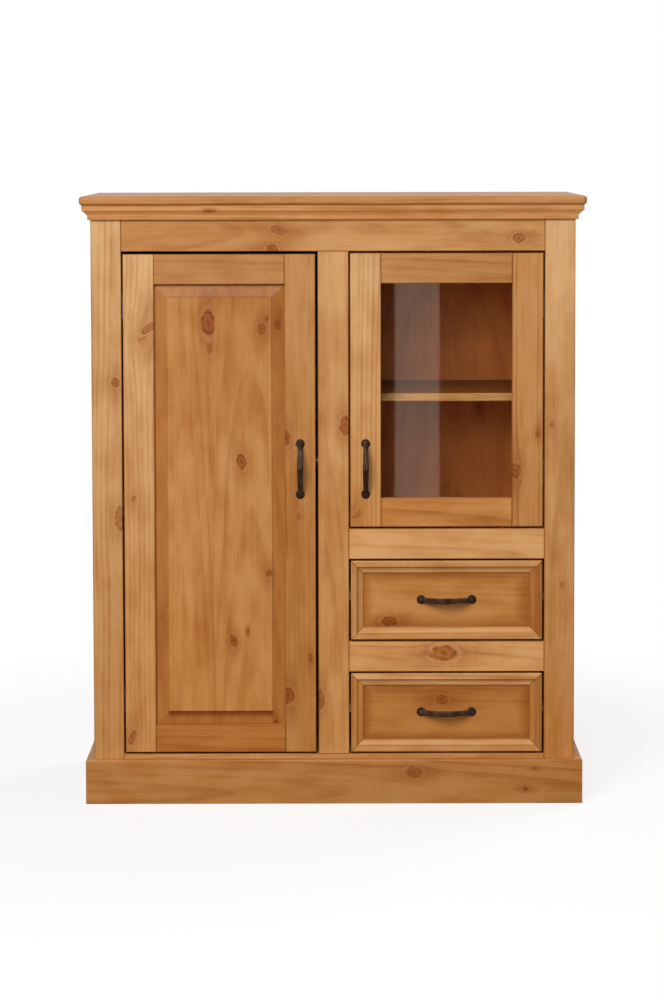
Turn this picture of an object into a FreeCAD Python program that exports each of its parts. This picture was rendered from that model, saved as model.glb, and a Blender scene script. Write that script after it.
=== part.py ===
import FreeCAD
import Part
import Sketcher
import math
import os
import re

# A pine highboard: a front frame of posts, stile and rails on a mitred plinth, a
# panelled door on the left, a glass door above two drawers on the right.
# Lengths are in millimetres, angles in degrees. x runs to the right, y into the
# cabinet and z up. The origin lies on the floor, in the middle of the outline.

os.makedirs("parts", exist_ok=True)
doc = FreeCAD.newDocument("highboard")
dims = doc.addObject("Spreadsheet::Sheet", "dims")

SIZES = {
    # carcass
    "total_height": 1150,
    "carcass_width": 910,
    "carcass_depth": 378,
    "post_width": 57,
    "post_depth": 60,
    "centre_stile_width": 58,
    "frame_thickness": 22,
    "side_thickness": 22,
    "partition_thickness": 18,
    "ease_radius": 1.5,
    # top board
    "top_side_overhang": 20,
    "top_front_overhang": 19,
    "top_thickness": 16,
    "top_edge_radius": 5,
    "top_corner_radius": 8,
    # cornice
    "cornice_height": 28,
    "cornice_lip_reach": 15,
    "cornice_lip_height": 10,
    "cornice_foot_reach": 5,
    "cornice_foot_height": 7,
    "cornice_cove_radius": 40,
    # levels of the front frame
    "top_rail_reveal": 59.5,
    "rail_height": 57.5,
    "drawer_opening": 157.5,
    "floor_level": 92,
    "floor_thickness": 20,
    # plinth and rear bearer
    "plinth_height": 84,
    "plinth_thickness": 15,
    "plinth_edge_radius": 3,
    "bearer_thickness": 18,
    # shelves
    "display_floor_thickness": 16,
    "shelf_thickness": 15,
    "shelf_setback": 82,
    "shelf_play": 1,
    "display_shelf_level": 771,
    "cupboard_shelf_level": 647,
    "pin_radius": 2.5,
    "pin_seat": 9,
    "pin_reach": 9,
    "pin_end_distance": 45,
    # back panels
    "back_thickness": 5,
    "back_inset": 3,
    "back_rebate": 10,
    # doors
    "door_thickness": 20,
    "hinge_gap": 3,
    "left_lock_gap": 4.6,
    "glass_lock_gap": 2.7,
    "door_end_gap": 3.7,
    "left_top_gap": 5,
    "door_stile_width": 58,
    "door_top_rail": 57,
    "door_bottom_rail": 54,
    # raised panel of the left door
    "groove_setback": 8,
    "groove_width": 6,
    "groove_depth": 8,
    "panel_play": 0.5,
    "panel_bevel": 24,
    "panel_bevel_rise": 4.5,
    "panel_step": 1.5,
    # glazing
    "glass_setback": 8,
    "glass_thickness": 4,
    "glass_rebate": 10,
    "glass_play": 1,
    "bead_round": 4,
    # drawers
    "front_side_gap": 3.5,
    "front_end_gap": 3.75,
    "moulding_thickness": 9,
    "moulding_width": 23,
    "moulding_band": 11,
    "moulding_quirk": 1.2,
    "moulding_inner_height": 2.5,
    "moulding_cove_radius": 16,
    "moulding_edge_radius": 2,
    "box_clearance": 8.5,
    "box_length": 320,
    "box_lift": 12,
    "box_height": 115,
    "box_side_thickness": 12,
    "box_back_drop": 8,
    "box_bottom_thickness": 4,
    "box_bottom_lift": 8,
    "box_bottom_groove": 5,
    # drawer runners
    "runner_base_height": 36,
    "runner_tongue_height": 14,
    "runner_lift": 60,
    "runner_groove_depth": 6,
    "runner_play": 0.4,
    "runner_back_gap": 10,
    # concealed hinges
    "hinge_inset": 22,
    "hinge_back": 9,
    "hinge_end_distance": 100,
    "cup_radius": 17.5,
    "cup_depth": 13,
    "cup_wall": 0.7,
    "flange_width": 24,
    "flange_length": 60,
    "flange_thickness": 1,
    "pivot_radius": 1.5,
    "pivot_clearance": 0.06,
    "eye_radius": 2.9,
    "arm_radius": 26,
    "arm_steel": 3,
    "arm_height": 14,
    "arm_web_angle": 43,
    "arm_sweep": 105,
    "arm_foot_start": 14.5,
    "arm_foot_depth": 4.5,
    "arm_foot_reach": 5.5,
    "plate_start": 13,
    "plate_depth": 32,
    "plate_height": 46,
    "plate_thickness": 1.5,
    # screws
    "screw_head_radius": 3.5,
    "screw_head_height": 1.8,
    "screw_radius": 1.5,
    "screw_length": 11,
    "cup_screw_spacing": 48,
    "plate_screw_spacing": 32,
    "back_screw_edge": 40,
    "bolt_head_radius": 4,
    "bolt_head_height": 2.2,
    "bolt_radius": 2,
    "bolt_grip": 5,
    # bow handles
    "handle_spacing": 96,
    "handle_level": 636,
    "bow_rise": 25,
    "bow_foot": 3,
    "bow_crease": 9,
    "bow_width": 11.6,
    "bow_end_width": 8.4,
    "bow_thickness": 5,
    "bow_chamfer_width": 2.2,
    "bow_chamfer_depth": 1.4,
    "rosette_radius": 8.6,
    "rosette_rim": 1.2,
    "rosette_thickness": 2.5,
    "rosette_face_radius": 7.4,
    "boss_radius": 5.5,
    # ball catch of the left door
    "catch_level": 650.5,
    "catch_depth": 10,
    "catch_radius": 4,
    "catch_length": 16,
    "catch_flange_radius": 6,
    "catch_flange_thickness": 1,
    "catch_ball_radius": 3.6,
    "catch_ball_reach": 2.6,
    "strike_radius": 6.3,
    "strike_thickness": 0.8,
}
for row, (name, size) in enumerate(SIZES.items(), start=1):
    dims.set(f"A{row}", name)
    dims.set(f"B{row}", str(size))
    dims.setAlias(f"B{row}", name)
doc.recompute()

TOLERANCE = 1e-4
NAMES = re.compile(r"\b(" + "|".join(SIZES) + r")\b")


# Sizes and places are written as formulas of the names above.
def formula(text):
    return NAMES.sub(r"dims.\1", text)


def number(text):
    return float(dims.evalExpression(formula(text)))


def bind(thing, **formulas):
    for name, text in formulas.items():
        thing.setExpression(name, formula(text))
    return thing


NO_TURN = FreeCAD.Rotation()


def place(thing, x, y, z, turn=NO_TURN):
    thing.Placement = FreeCAD.Placement(FreeCAD.Vector(), turn)
    for axis, text in zip("xyz", (x, y, z)):
        thing.setExpression(f"Placement.Base.{axis}", formula(text))
    return thing


# Levels and lines that several pieces share.
HALF_WIDTH = "(carcass_width / 2)"
POST_EDGE = "(carcass_width / 2 - post_width)"
WALL_FACE = "(carcass_width / 2 - side_thickness)"
STILE_EDGE = "(centre_stile_width / 2)"
PARTITION_FACE = "(partition_thickness / 2)"
UNDER_TOP = "(total_height - top_thickness)"
CORNICE_FOOT = f"({UNDER_TOP} - cornice_height)"
UNDER_TOP_RAIL = f"({CORNICE_FOOT} - top_rail_reveal)"
DRAWER_RAIL = "(floor_level + drawer_opening)"
UPPER_OPENING = f"({DRAWER_RAIL} + rail_height)"
MIDDLE_RAIL = f"({UPPER_OPENING} + drawer_opening)"
DISPLAY_LEVEL = f"({MIDDLE_RAIL} + rail_height)"
BACK_FACE = "(carcass_depth - back_inset - back_thickness)"
REACH = "(bow_rise + bow_thickness / 2)"
FRONT = f"(({REACH} - carcass_depth) / 2)"
DRAWER_MIDDLE = f"(({STILE_EDGE} + {POST_EDGE}) / 2)"


# The y of a depth behind the front plane.
def deep(depth):
    return f"({FRONT} + {depth})"


def origin_plane(body, role):
    return next(item for item in body.Origin.OriginFeatures if item.Role == role)


def turned(start, end, radius):
    """The arc from start to end, bulging to the right of the way for a positive radius."""
    chord = end - start
    middle = start + chord * 0.5
    height = math.sqrt(radius * radius - chord.Length * chord.Length / 4)
    side = FreeCAD.Vector(-chord.y, chord.x, 0).normalize()
    centre = middle + side * math.copysign(height, radius)
    first, last = (start, end) if radius > 0 else (end, start)
    angles = [math.atan2(p.y - centre.y, p.x - centre.x) for p in (first, last)]
    circle = Part.Circle(centre, FreeCAD.Vector(0, 0, 1), abs(radius))
    return Part.ArcOfCircle(circle, angles[0], angles[1])


# Draws a closed outline. A point with a third value starts an arc of that radius, with
# a minus sign for a hollow one.
def draw(sketch, points):
    spots = [FreeCAD.Vector(number(p[0]), number(p[1]), 0) for p in points]
    starts, ends = [], []
    for i, point in enumerate(points):
        a, b = spots[i], spots[(i + 1) % len(spots)]
        hollow = len(point) > 2 and point[2].startswith("-")
        curve = turned(a, b, number(point[2])) if len(point) > 2 else Part.LineSegment(a, b)
        sketch.addGeometry(curve, False)
        starts.append((i, 2 if hollow else 1))
        ends.append((i, 1 if hollow else 2))
    for i, point in enumerate(points):
        sketch.addConstraint(
            Sketcher.Constraint("Coincident", *ends[i - 1], *starts[i]))
    for i, point in enumerate(points):
        for kind, text, now in zip(("DistanceX", "DistanceY"), point, spots[i]):
            index = sketch.addConstraint(Sketcher.Constraint(kind, -1, 1, *starts[i], now))
            sketch.setExpression(f"Constraints[{index}]", formula(text))
        if len(point) > 2:
            radius = point[2].lstrip("-")
            index = sketch.addConstraint(Sketcher.Constraint("Radius", i, number(radius)))
            sketch.setExpression(f"Constraints[{index}]", formula(radius))
    return sketch


# An outline on one of the body's planes.
def outline(body, role, points, lift="0"):
    sketch = body.newObject("Sketcher::SketchObject", f"{body.Name}_outline")
    sketch.AttachmentSupport = [(origin_plane(body, role), "")]
    sketch.MapMode = "FlatFace"
    sketch.setExpression("AttachmentOffset.Base.z", formula(lift))
    return draw(sketch, points)


def pad(body, sketch, length, reverse=False):
    feature = body.newObject("PartDesign::Pad", f"{body.Name}_pad")
    feature.Profile = sketch
    feature.Reversed = reverse
    bind(feature, Length=length)
    body.Tip = feature
    return feature


def pocket(body, sketch, length, reverse=False):
    feature = body.newObject("PartDesign::Pocket", f"{body.Name}_pocket")
    feature.Profile = sketch
    feature.Reversed = reverse
    bind(feature, Length=length)
    body.Tip = feature
    return feature


# Rounds the edges that the test picks by their bounding box.
def round_edges(body, radius, picked):
    doc.recompute()
    base = body.Tip
    names = [f"Edge{i}" for i, edge in enumerate(base.Shape.Edges, start=1) if picked(edge)]
    feature = body.newObject("PartDesign::Fillet", f"{body.Name}_round")
    feature.Base = (base, names)
    bind(feature, Radius=radius)
    body.Tip = feature
    return feature


def same(a, b):
    return math.isclose(a, b, abs_tol=TOLERANCE)


def on_front(shape):
    face = shape.BoundBox.YMin
    return lambda edge: same(edge.BoundBox.YMin, face) and same(edge.BoundBox.YMax, face)


# A board cut to a plan of x and depth, standing between two levels.
def slab(label, points, bottom, top, eased=True):
    body = doc.addObject("PartDesign::Body", label)
    pad(body, outline(body, "XY_Plane", points), f"({top}) - ({bottom})")
    if eased:
        doc.recompute()
        round_edges(body, "ease_radius", on_front(body.Tip.Shape))
    return place(body, "0", FRONT, bottom)


# A board with a section of x and height, running from one depth to another.
def strip(label, points, start, end):
    body = doc.addObject("PartDesign::Body", label)
    pad(body, outline(body, "XZ_Plane", points), f"({end}) - ({start})", reverse=True)
    return place(body, "0", deep(start), "0")


def oblong(x0, x1, y0, y1):
    return [(x0, y0), (x1, y0), (x1, y1), (x0, y1)]


def mirrored(hand, points):
    return [(f"{hand} * ({x})", y) for x, y in points]


# A moulding: section y, z drawn along x, with its ends cut square or to a mitre that
# runs from the long edge at y = 0 to the short edge at y = reach.
def moulding(label, section, length, reach, height, base, turn, mitres=(True, True)):
    body = doc.addObject("PartDesign::Body", label)
    pad(body, outline(body, "YZ_Plane", section), length)
    corners = [[("0", "0"), ("0", reach), (reach, reach)],
               [(length, "0"), (length, reach), (f"{length} - {reach}", reach)]]
    for mitred, corner in zip(mitres, corners):
        if mitred:
            pocket(body, outline(body, "XY_Plane", corner, height), height)
    return place(body, *base, turn)


def axes(x, y, z):
    return FreeCAD.Rotation(FreeCAD.Vector(*x), FreeCAD.Vector(*y), FreeCAD.Vector(*z), "XYZ")


LEFTWARD = (-1, 0, 0)
RIGHTWARD = (1, 0, 0)
FORWARD = (0, -1, 0)
BACKWARD = (0, 1, 0)
UPWARD = (0, 0, 1)
DOWNWARD = (0, 0, -1)


def box(label, length, width, height, x, y, z, turn=NO_TURN):
    shape = doc.addObject("Part::Box", label)
    return place(bind(shape, Length=length, Width=width, Height=height), x, y, z, turn)


def cylinder(label, radius, height, x, y, z, turn=NO_TURN):
    shape = doc.addObject("Part::Cylinder", label)
    return place(bind(shape, Radius=radius, Height=height), x, y, z, turn)


def fused(label, pieces):
    shape = doc.addObject("Part::MultiFuse", label)
    shape.Shapes = pieces
    return shape


def group(label, pieces):
    shape = doc.addObject("Part::Compound", label)
    shape.Links = pieces
    return shape


# One more of a piece that is used several times.
def copy(piece, x, y, z, turn=NO_TURN):
    return place(group(f"{piece.Name}_copy", [piece]), x, y, z, turn)


def cut(label, blank, tool):
    shape = doc.addObject("Part::Cut", label)
    shape.Base = blank
    shape.Tool = tool
    return shape


nodes = []


def keep(*pieces):
    nodes.extend(pieces)


HANDS = {"left": -1, "right": 1}

# Screws: the head stands on z = 0 and the shank runs down.
FACE_BACK = axes(RIGHTWARD, DOWNWARD, BACKWARD)
FACE_RIGHT = axes(DOWNWARD, BACKWARD, RIGHTWARD)
FACE_LEFT = axes(UPWARD, BACKWARD, LEFTWARD)


def screw(label, head_radius, head_height, radius, length):
    head = cylinder(f"{label}_head", head_radius, head_height, "0", "0", "0")
    shank = cylinder(f"{label}_shank", radius, length, "0", "0", f"-({length})")
    return fused(label, [head, shank])


wood_screw = screw("wood_screw", "screw_head_radius", "screw_head_height", "screw_radius",
                   "screw_length")
door_bolt = screw("door_bolt", "bolt_head_radius", "bolt_head_height", "bolt_radius",
                  "door_thickness + bolt_grip")
drawer_bolt = screw("drawer_bolt", "bolt_head_radius", "bolt_head_height", "bolt_radius",
                    "frame_thickness - moulding_thickness + bolt_grip")

# Top board, rounded on the front and the sides.
top_board = doc.addObject("PartDesign::Body", "top_board")
top_half = f"({HALF_WIDTH} + top_side_overhang)"
pad(top_board,
    outline(top_board, "XY_Plane",
            oblong(f"-{top_half}", top_half, "-top_front_overhang", "carcass_depth")),
    "top_thickness")
doc.recompute()
front_line = top_board.Tip.Shape.BoundBox.YMin
rear_line = top_board.Tip.Shape.BoundBox.YMax
round_edges(top_board, "top_corner_radius",
            lambda edge: (same(edge.BoundBox.YMax, front_line)
                          and edge.BoundBox.ZLength > edge.BoundBox.XLength))
round_edges(top_board, "top_edge_radius",
            lambda edge: not same(edge.BoundBox.YMin, rear_line) and same(edge.BoundBox.ZLength, 0))
place(top_board, "0", FRONT, UNDER_TOP)
keep(top_board)

# Cornice: foot, cove and lip, mitred at the front corners.
cornice_foot = "cornice_lip_reach - cornice_foot_reach"
cornice = [(cornice_foot, "0"), ("cornice_lip_reach", "0"), ("cornice_lip_reach", "cornice_height"),
           ("0", "cornice_height"),
           ("0", "cornice_height - cornice_lip_height", "-cornice_cove_radius"),
           (cornice_foot, "cornice_foot_height")]
# Plinth: a board with its upper front edge rounded.
plinth = [("0", "0"), ("plinth_thickness", "0"), ("plinth_thickness", "plinth_height"),
          ("plinth_edge_radius", "plinth_height", "plinth_edge_radius"),
          ("0", "plinth_height - plinth_edge_radius")]


# Three lengths round the front and the sides of the carcass.
def surround(label, section, reach, height, level):
    edge = f"({HALF_WIDTH} + {reach})"
    ahead = f"({FRONT} - {reach})"
    side = f"(carcass_depth + {reach})"
    keep(
        moulding(f"{label}_front", section, f"(2 * {edge})", reach, height,
                 (f"-{edge}", ahead, level), NO_TURN),
        moulding(f"{label}_left", section, side, reach, height,
                 (f"-{edge}", deep("carcass_depth"), level),
                 axes(FORWARD, RIGHTWARD, UPWARD), (False, True)),
        moulding(f"{label}_right", section, side, reach, height,
                 (edge, ahead, level),
                 axes(BACKWARD, LEFTWARD, UPWARD), (True, False)))


surround("cornice", cornice, "cornice_lip_reach", "cornice_height", CORNICE_FOOT)
surround("plinth", plinth, "plinth_thickness", "plinth_height", "0")

# Front frame.
POSTS = {side: slab(f"{side}_post_blank",
                    mirrored(hand, oblong(POST_EDGE, HALF_WIDTH, "0", "post_depth")),
                    "0", UNDER_TOP)
         for side, hand in HANDS.items()}
keep(
    slab("top_rail", oblong(f"-{POST_EDGE}", POST_EDGE, "0", "frame_thickness"),
         UNDER_TOP_RAIL, UNDER_TOP),
    slab("centre_stile", oblong(f"-{STILE_EDGE}", STILE_EDGE, "0", "frame_thickness"),
         "floor_level", UNDER_TOP_RAIL),
    slab("middle_rail", oblong(STILE_EDGE, POST_EDGE, "0", "frame_thickness"),
         MIDDLE_RAIL, DISPLAY_LEVEL),
    slab("drawer_rail", oblong(STILE_EDGE, POST_EDGE, "0", "frame_thickness"),
         DRAWER_RAIL, UPPER_OPENING))

# Boards of the carcass. The floor board is notched round the posts.
REBATE_LINE = f"({WALL_FACE} + back_rebate)"
SIDES = {side: slab(f"{side}_side_blank",
                    mirrored(hand, [(WALL_FACE, "post_depth"), (HALF_WIDTH, "post_depth"),
                                    (HALF_WIDTH, "carcass_depth"), (REBATE_LINE, "carcass_depth"),
                                    (REBATE_LINE, BACK_FACE), (WALL_FACE, BACK_FACE)]),
                    "0", UNDER_TOP, eased=False)
         for side, hand in HANDS.items()}
partition_blank = slab("partition_blank",
                       oblong(f"-{PARTITION_FACE}", PARTITION_FACE, "frame_thickness", BACK_FACE),
                       "floor_level", UNDER_TOP, eased=False)
floor_blank = slab("floor_blank",
                   [(f"-{POST_EDGE}", "0"), (POST_EDGE, "0"), (POST_EDGE, "post_depth"),
                    (WALL_FACE, "post_depth"), (WALL_FACE, BACK_FACE),
                    (f"-{WALL_FACE}", BACK_FACE), (f"-{WALL_FACE}", "post_depth"),
                    (f"-{POST_EDGE}", "post_depth")],
                   "floor_level - floor_thickness", "floor_level")
keep(
    slab("display_floor",
         [(PARTITION_FACE, "frame_thickness"), (POST_EDGE, "frame_thickness"),
          (POST_EDGE, "post_depth"), (WALL_FACE, "post_depth"), (WALL_FACE, BACK_FACE),
          (PARTITION_FACE, BACK_FACE)],
         f"({DISPLAY_LEVEL} - display_floor_thickness)", DISPLAY_LEVEL, eased=False),
    slab("rear_bearer",
         oblong(f"-{WALL_FACE}", WALL_FACE, f"{BACK_FACE} - bearer_thickness", BACK_FACE),
         "0", "(floor_level - floor_thickness)", eased=False))

# Shelves on four pins each.
SHELVES = {"cupboard": (-1, "cupboard_shelf_level"), "display": (1, "display_shelf_level")}
pin = cylinder("shelf_pin", "pin_radius", "pin_seat + pin_reach", "0", "0", "-pin_seat")
PIN_DEPTHS = ("shelf_setback + pin_end_distance",
              f"{BACK_FACE} - shelf_play - pin_end_distance")
pins = []
for name, (hand, level) in SHELVES.items():
    keep(slab(f"{name}_shelf",
              mirrored(hand, oblong(f"{PARTITION_FACE} + shelf_play", f"{WALL_FACE} - shelf_play",
                                    "shelf_setback", f"{BACK_FACE} - shelf_play")),
              f"({level} - shelf_thickness)", level))
    for depth in PIN_DEPTHS:
        height = f"{level} - shelf_thickness - pin_radius"
        inward, outward = (FACE_LEFT, FACE_RIGHT) if hand < 0 else (FACE_RIGHT, FACE_LEFT)
        pins.append(copy(pin, f"{hand} * {PARTITION_FACE}", deep(depth), height, inward))
        pins.append(copy(pin, f"{hand} * {WALL_FACE}", deep(depth), height, outward))
shelf_pins = group("shelf_pins", pins)
keep(shelf_pins)

# Back panels in the rebates, meeting on the partition, with their screws.
BACK_BOTTOM = "(floor_level - floor_thickness)"
BACKS = {side: slab(f"{side}_back_blank",
                    mirrored(hand, oblong("0", REBATE_LINE, BACK_FACE,
                                          f"({BACK_FACE} + back_thickness)")),
                    BACK_BOTTOM, UNDER_TOP, eased=False)
         for side, hand in HANDS.items()}
back_span = f"({UNDER_TOP} - floor_level)"
screw_levels = [f"{UNDER_TOP} - back_screw_edge",
                f"floor_level + {back_span} / 2",
                "floor_level + back_screw_edge"]
screw_lines = [f"({WALL_FACE} + back_rebate / 2)", f"({PARTITION_FACE} / 2)"]
FLOOR_SCREW = f"({WALL_FACE} / 2)"
back_screws = []
for hand in HANDS.values():
    spots = [(line, level) for line in screw_lines for level in screw_levels]
    spots.append((FLOOR_SCREW, "floor_level - floor_thickness / 2"))
    for line, level in spots:
        back_screws.append(copy(wood_screw, f"{hand} * {line}",
                                deep(f"{BACK_FACE} + back_thickness"), level, FACE_BACK))

# Concealed hinges: a cup with a fixed pin in the door, a bent arm on the post.
# They are drawn round the pin: x across the door, y into the cabinet.
cup_outer = cylinder("cup_outer", "cup_radius", "cup_depth", "0", "hinge_back - cup_depth", "0",
                     FACE_BACK)
cup_hollow = cylinder("cup_hollow", "cup_radius - cup_wall", "cup_depth", "0",
                      "hinge_back - cup_depth + cup_wall", "0", FACE_BACK)
flange = box("cup_flange", "flange_width", "flange_thickness", "flange_length",
             "-flange_width / 2", "hinge_back", "-flange_length / 2")
flange_hole = cylinder("flange_hole", "cup_radius - cup_wall", "flange_thickness", "0",
                       "hinge_back", "0", FACE_BACK)
cup_shell = cut("cup_shell", cut("cup_walls", fused("cup_and_flange", [cup_outer, flange]),
                                 cup_hollow), flange_hole)
pivot = cylinder("cup_pivot", "pivot_radius", "2 * cup_radius - cup_wall", "0", "0",
                 "-(cup_radius - cup_wall / 2)")
hinge_cup = fused("hinge_cup", [cup_shell, pivot])


def hinge_arm(side, hand):
    web_angle = "arm_web_angle" if hand < 0 else "(180 - arm_web_angle)"
    first_angle = "arm_web_angle" if hand < 0 else "(180 - arm_web_angle - arm_sweep)"
    base = "(-arm_height / 2)"
    post_face = "(hinge_inset + hinge_gap)"
    rim = cylinder(f"{side}_arm_rim", "arm_radius + arm_steel / 2", "arm_height", "0", "0", base)
    bind(rim, Angle="arm_sweep")
    rim.setExpression("Placement.Rotation.Angle", formula(first_angle))
    hollow = cylinder(f"{side}_arm_hollow", "arm_radius - arm_steel / 2", "arm_height", "0", "0", base)
    bow = cut(f"{side}_arm_bow", rim, hollow)
    web = box(f"{side}_arm_web", "arm_radius", "arm_steel", "arm_height",
              f"sin({web_angle}) * arm_steel / 2", f"-cos({web_angle}) * arm_steel / 2", base)
    web.setExpression("Placement.Rotation.Angle", formula(web_angle))
    eye = cylinder(f"{side}_arm_eye", "eye_radius", "arm_height", "0", "0", base)
    inner = {"foot": "arm_foot_reach", "plate": "plate_thickness"}
    starts = {name: f"-{post_face}" if hand < 0 else f"{post_face} - {reach}"
              for name, reach in inner.items()}
    foot = box(f"{side}_arm_foot", "arm_foot_reach", "arm_foot_depth", "arm_height",
               starts["foot"], "arm_foot_start", base)
    plate = box(f"{side}_arm_plate", "plate_thickness", "plate_depth", "plate_height",
                starts["plate"], "plate_start", "-plate_height / 2")
    bore = cylinder(f"{side}_arm_bore", "pivot_radius + pivot_clearance", "arm_height", "0", "0", base)
    return cut(f"{side}_hinge_arm", fused(f"{side}_arm_solid", [bow, web, eye, foot, plate]), bore)


HINGE_DEPTH = "(door_thickness - hinge_back)"
HINGE_LINE = f"({POST_EDGE} - hinge_gap - hinge_inset)"
DOOR_LEVELS = {"left": "(floor_level + door_end_gap)", "right": f"({DISPLAY_LEVEL} + door_end_gap)"}
DOOR_TOPS = {"left": f"({UNDER_TOP_RAIL} - left_top_gap)",
             "right": f"({UNDER_TOP_RAIL} - door_end_gap)"}
DOOR_NAMES = {"left": "left_door", "right": "glass_door"}
LOCK_GAPS = {"left": "left_lock_gap", "right": "glass_lock_gap"}

plate_screws = []
stiles_tools = {}
for side, hand in HANDS.items():
    door = DOOR_NAMES[side]
    low = f"({DOOR_LEVELS[side]} + hinge_end_distance)"
    high = f"({DOOR_TOPS[side]} - hinge_end_distance)"
    levels = [low, f"(({low} + {high}) / 2)", high] if side == "left" else [low, high]
    line = f"{hand} * {HINGE_LINE}"
    arm = hinge_arm(side, hand)
    arms = [copy(arm, line, deep(HINGE_DEPTH), level) for level in levels]
    cups = [copy(hinge_cup, line, deep(HINGE_DEPTH), level) for level in levels]
    bores = [copy(cup_outer, line, deep(HINGE_DEPTH), level) for level in levels]
    own_plate_screws, cup_screws = [], []
    for level in levels:
        for end in (-1, 1):
            own_plate_screws.append(copy(
                wood_screw, f"{hand} * ({POST_EDGE} - plate_thickness)",
                deep(f"{HINGE_DEPTH} + plate_start + plate_depth / 2"),
                f"{level} + {end} * plate_screw_spacing / 2",
                FACE_RIGHT if hand < 0 else FACE_LEFT))
            cup_screws.append(copy(
                wood_screw, line, deep("door_thickness + flange_thickness"),
                f"{level} + {end} * cup_screw_spacing / 2", FACE_BACK))
    plate_screws.extend(own_plate_screws)
    own_plates = group(f"{side}_plate_screw_set", own_plate_screws)
    own_cups = group(f"{side}_cup_screw_set", cup_screws)
    keep(cut(f"{door}_hinge_arms", group(f"{side}_arm_set", arms), own_plates),
         cut(f"{door}_hinge_cups", group(f"{side}_cup_set", cups), own_cups),
         cut(f"{side}_front_post", POSTS[side], own_plates))
    stiles_tools[side] = (bores, cup_screws)

back_screw_set = group("back_screw_set", back_screws)
keep(group("carcass_screws", back_screws + plate_screws))
keep(cut("left_side_panel", SIDES["left"], group("left_side_holes", [shelf_pins, back_screw_set])),
     cut("right_side_panel", SIDES["right"], group("right_side_holes", [shelf_pins, back_screw_set])),
     cut("partition", partition_blank, group("partition_holes", [shelf_pins, back_screw_set])),
     cut("floor_board", floor_blank, back_screw_set),
     cut("left_back_panel", BACKS["left"], back_screw_set),
     cut("right_back_panel", BACKS["right"], back_screw_set))

# Bow handle, drawn once: x across, y away from the wood, z along. Two bent and tapered
# halves with chamfered sides meet in a crease in the middle and stand on two rosettes.
SECTIONS = 3
bow_slope = "atan((bow_rise - bow_foot) / (handle_spacing / 2))"
bow_start = "(bow_crease * 1 deg)"
bow_bend = f"({bow_slope} - {bow_start})"
bow_chord = "sqrt(pow(bow_rise - bow_foot; 2) + pow(handle_spacing / 2; 2))"
bow_radius = f"({bow_chord} / (2 * sin({bow_bend})))"


def bow_section(end, step):
    share = step / SECTIONS
    angle = f"({bow_start} + {2 * share} * {bow_bend})"
    along = f"{end} * {bow_radius} * (sin({angle}) - sin({bow_start}))"
    level = f"bow_rise - {bow_radius} * (cos({bow_start}) - cos({angle}))"
    half = f"((bow_width + {share} * (bow_end_width - bow_width)) / 2)"
    flat = f"({half} - bow_chamfer_width)"
    side = "(bow_thickness / 2 - bow_chamfer_depth)"
    face = "(bow_thickness / 2)"
    sketch = draw(doc.addObject("Sketcher::SketchObject", "bow_section"),
                  [(half, f"-{side}"), (half, side), (flat, face), (f"-{flat}", face),
                   (f"-{half}", side), (f"-{half}", f"-{side}"), (f"-{flat}", f"-{face}"),
                   (flat, f"-{face}")])
    place(sketch, "0", level, along, FreeCAD.Rotation(FreeCAD.Vector(*RIGHTWARD), end))
    tilt = f"{end} * {angle}" if step else "0"
    sketch.setExpression("Placement.Rotation.Angle", formula(tilt))
    return sketch


arches = []
for end in (-1, 1):
    arch = doc.addObject("Part::Loft", "bow_arch")
    arch.Sections = [bow_section(end, step) for step in range(SECTIONS + 1)]
    arch.Solid = True
    arch.Ruled = False
    arches.append(arch)
feet, tapped = arches, []
for end in (-1, 1):
    along = f"{end} * handle_spacing / 2"
    feet.append(cylinder("rosette_rim", "rosette_radius", "rosette_rim", "0", "0", along, FACE_BACK))
    slope = doc.addObject("Part::Cone", "rosette_slope")
    bind(slope, Radius1="rosette_radius", Radius2="rosette_face_radius",
         Height="rosette_thickness - rosette_rim")
    feet.append(place(slope, "0", "rosette_rim", along, FACE_BACK))
    boss = doc.addObject("Part::Sphere", "rosette_boss")
    bind(boss, Radius="boss_radius")
    boss.Angle1 = 0
    feet.append(place(boss, "0", "rosette_thickness", along, FACE_BACK))
    tapped.append(cylinder("tapped_hole", "bolt_radius", "bolt_grip", "0", "0", along, FACE_BACK))
bow_handle = cut("bow_handle", fused("bow_casting", feet), group("tapped_holes", tapped))
ALONG_DOOR = axes(LEFTWARD, FORWARD, UPWARD)
ALONG_DRAWER = axes(UPWARD, FORWARD, RIGHTWARD)

# Ball catch in the lock edge of the left door, and its strike on the centre stile.
LOCK_EDGE = f"({STILE_EDGE} + left_lock_gap)"
catch_barrel = cylinder("catch_barrel", "catch_radius", "catch_length",
                        f"-{LOCK_EDGE} - catch_length", deep("catch_depth"), "catch_level", FACE_RIGHT)
catch_flange = cylinder("catch_flange", "catch_flange_radius", "catch_flange_thickness",
                        f"-{LOCK_EDGE}", deep("catch_depth"), "catch_level", FACE_RIGHT)
catch_ball = bind(doc.addObject("Part::Sphere", "catch_ball"), Radius="catch_ball_radius")
place(catch_ball, f"-{LOCK_EDGE} + catch_flange_thickness + catch_ball_reach - catch_ball_radius",
      deep("catch_depth"), "catch_level")
keep(fused("left_door_catch", [catch_barrel, catch_flange, catch_ball]),
     cylinder("catch_strike", "strike_radius", "strike_thickness",
              f"-{STILE_EDGE} - strike_thickness", deep("catch_depth"), "catch_level", FACE_RIGHT))

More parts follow.
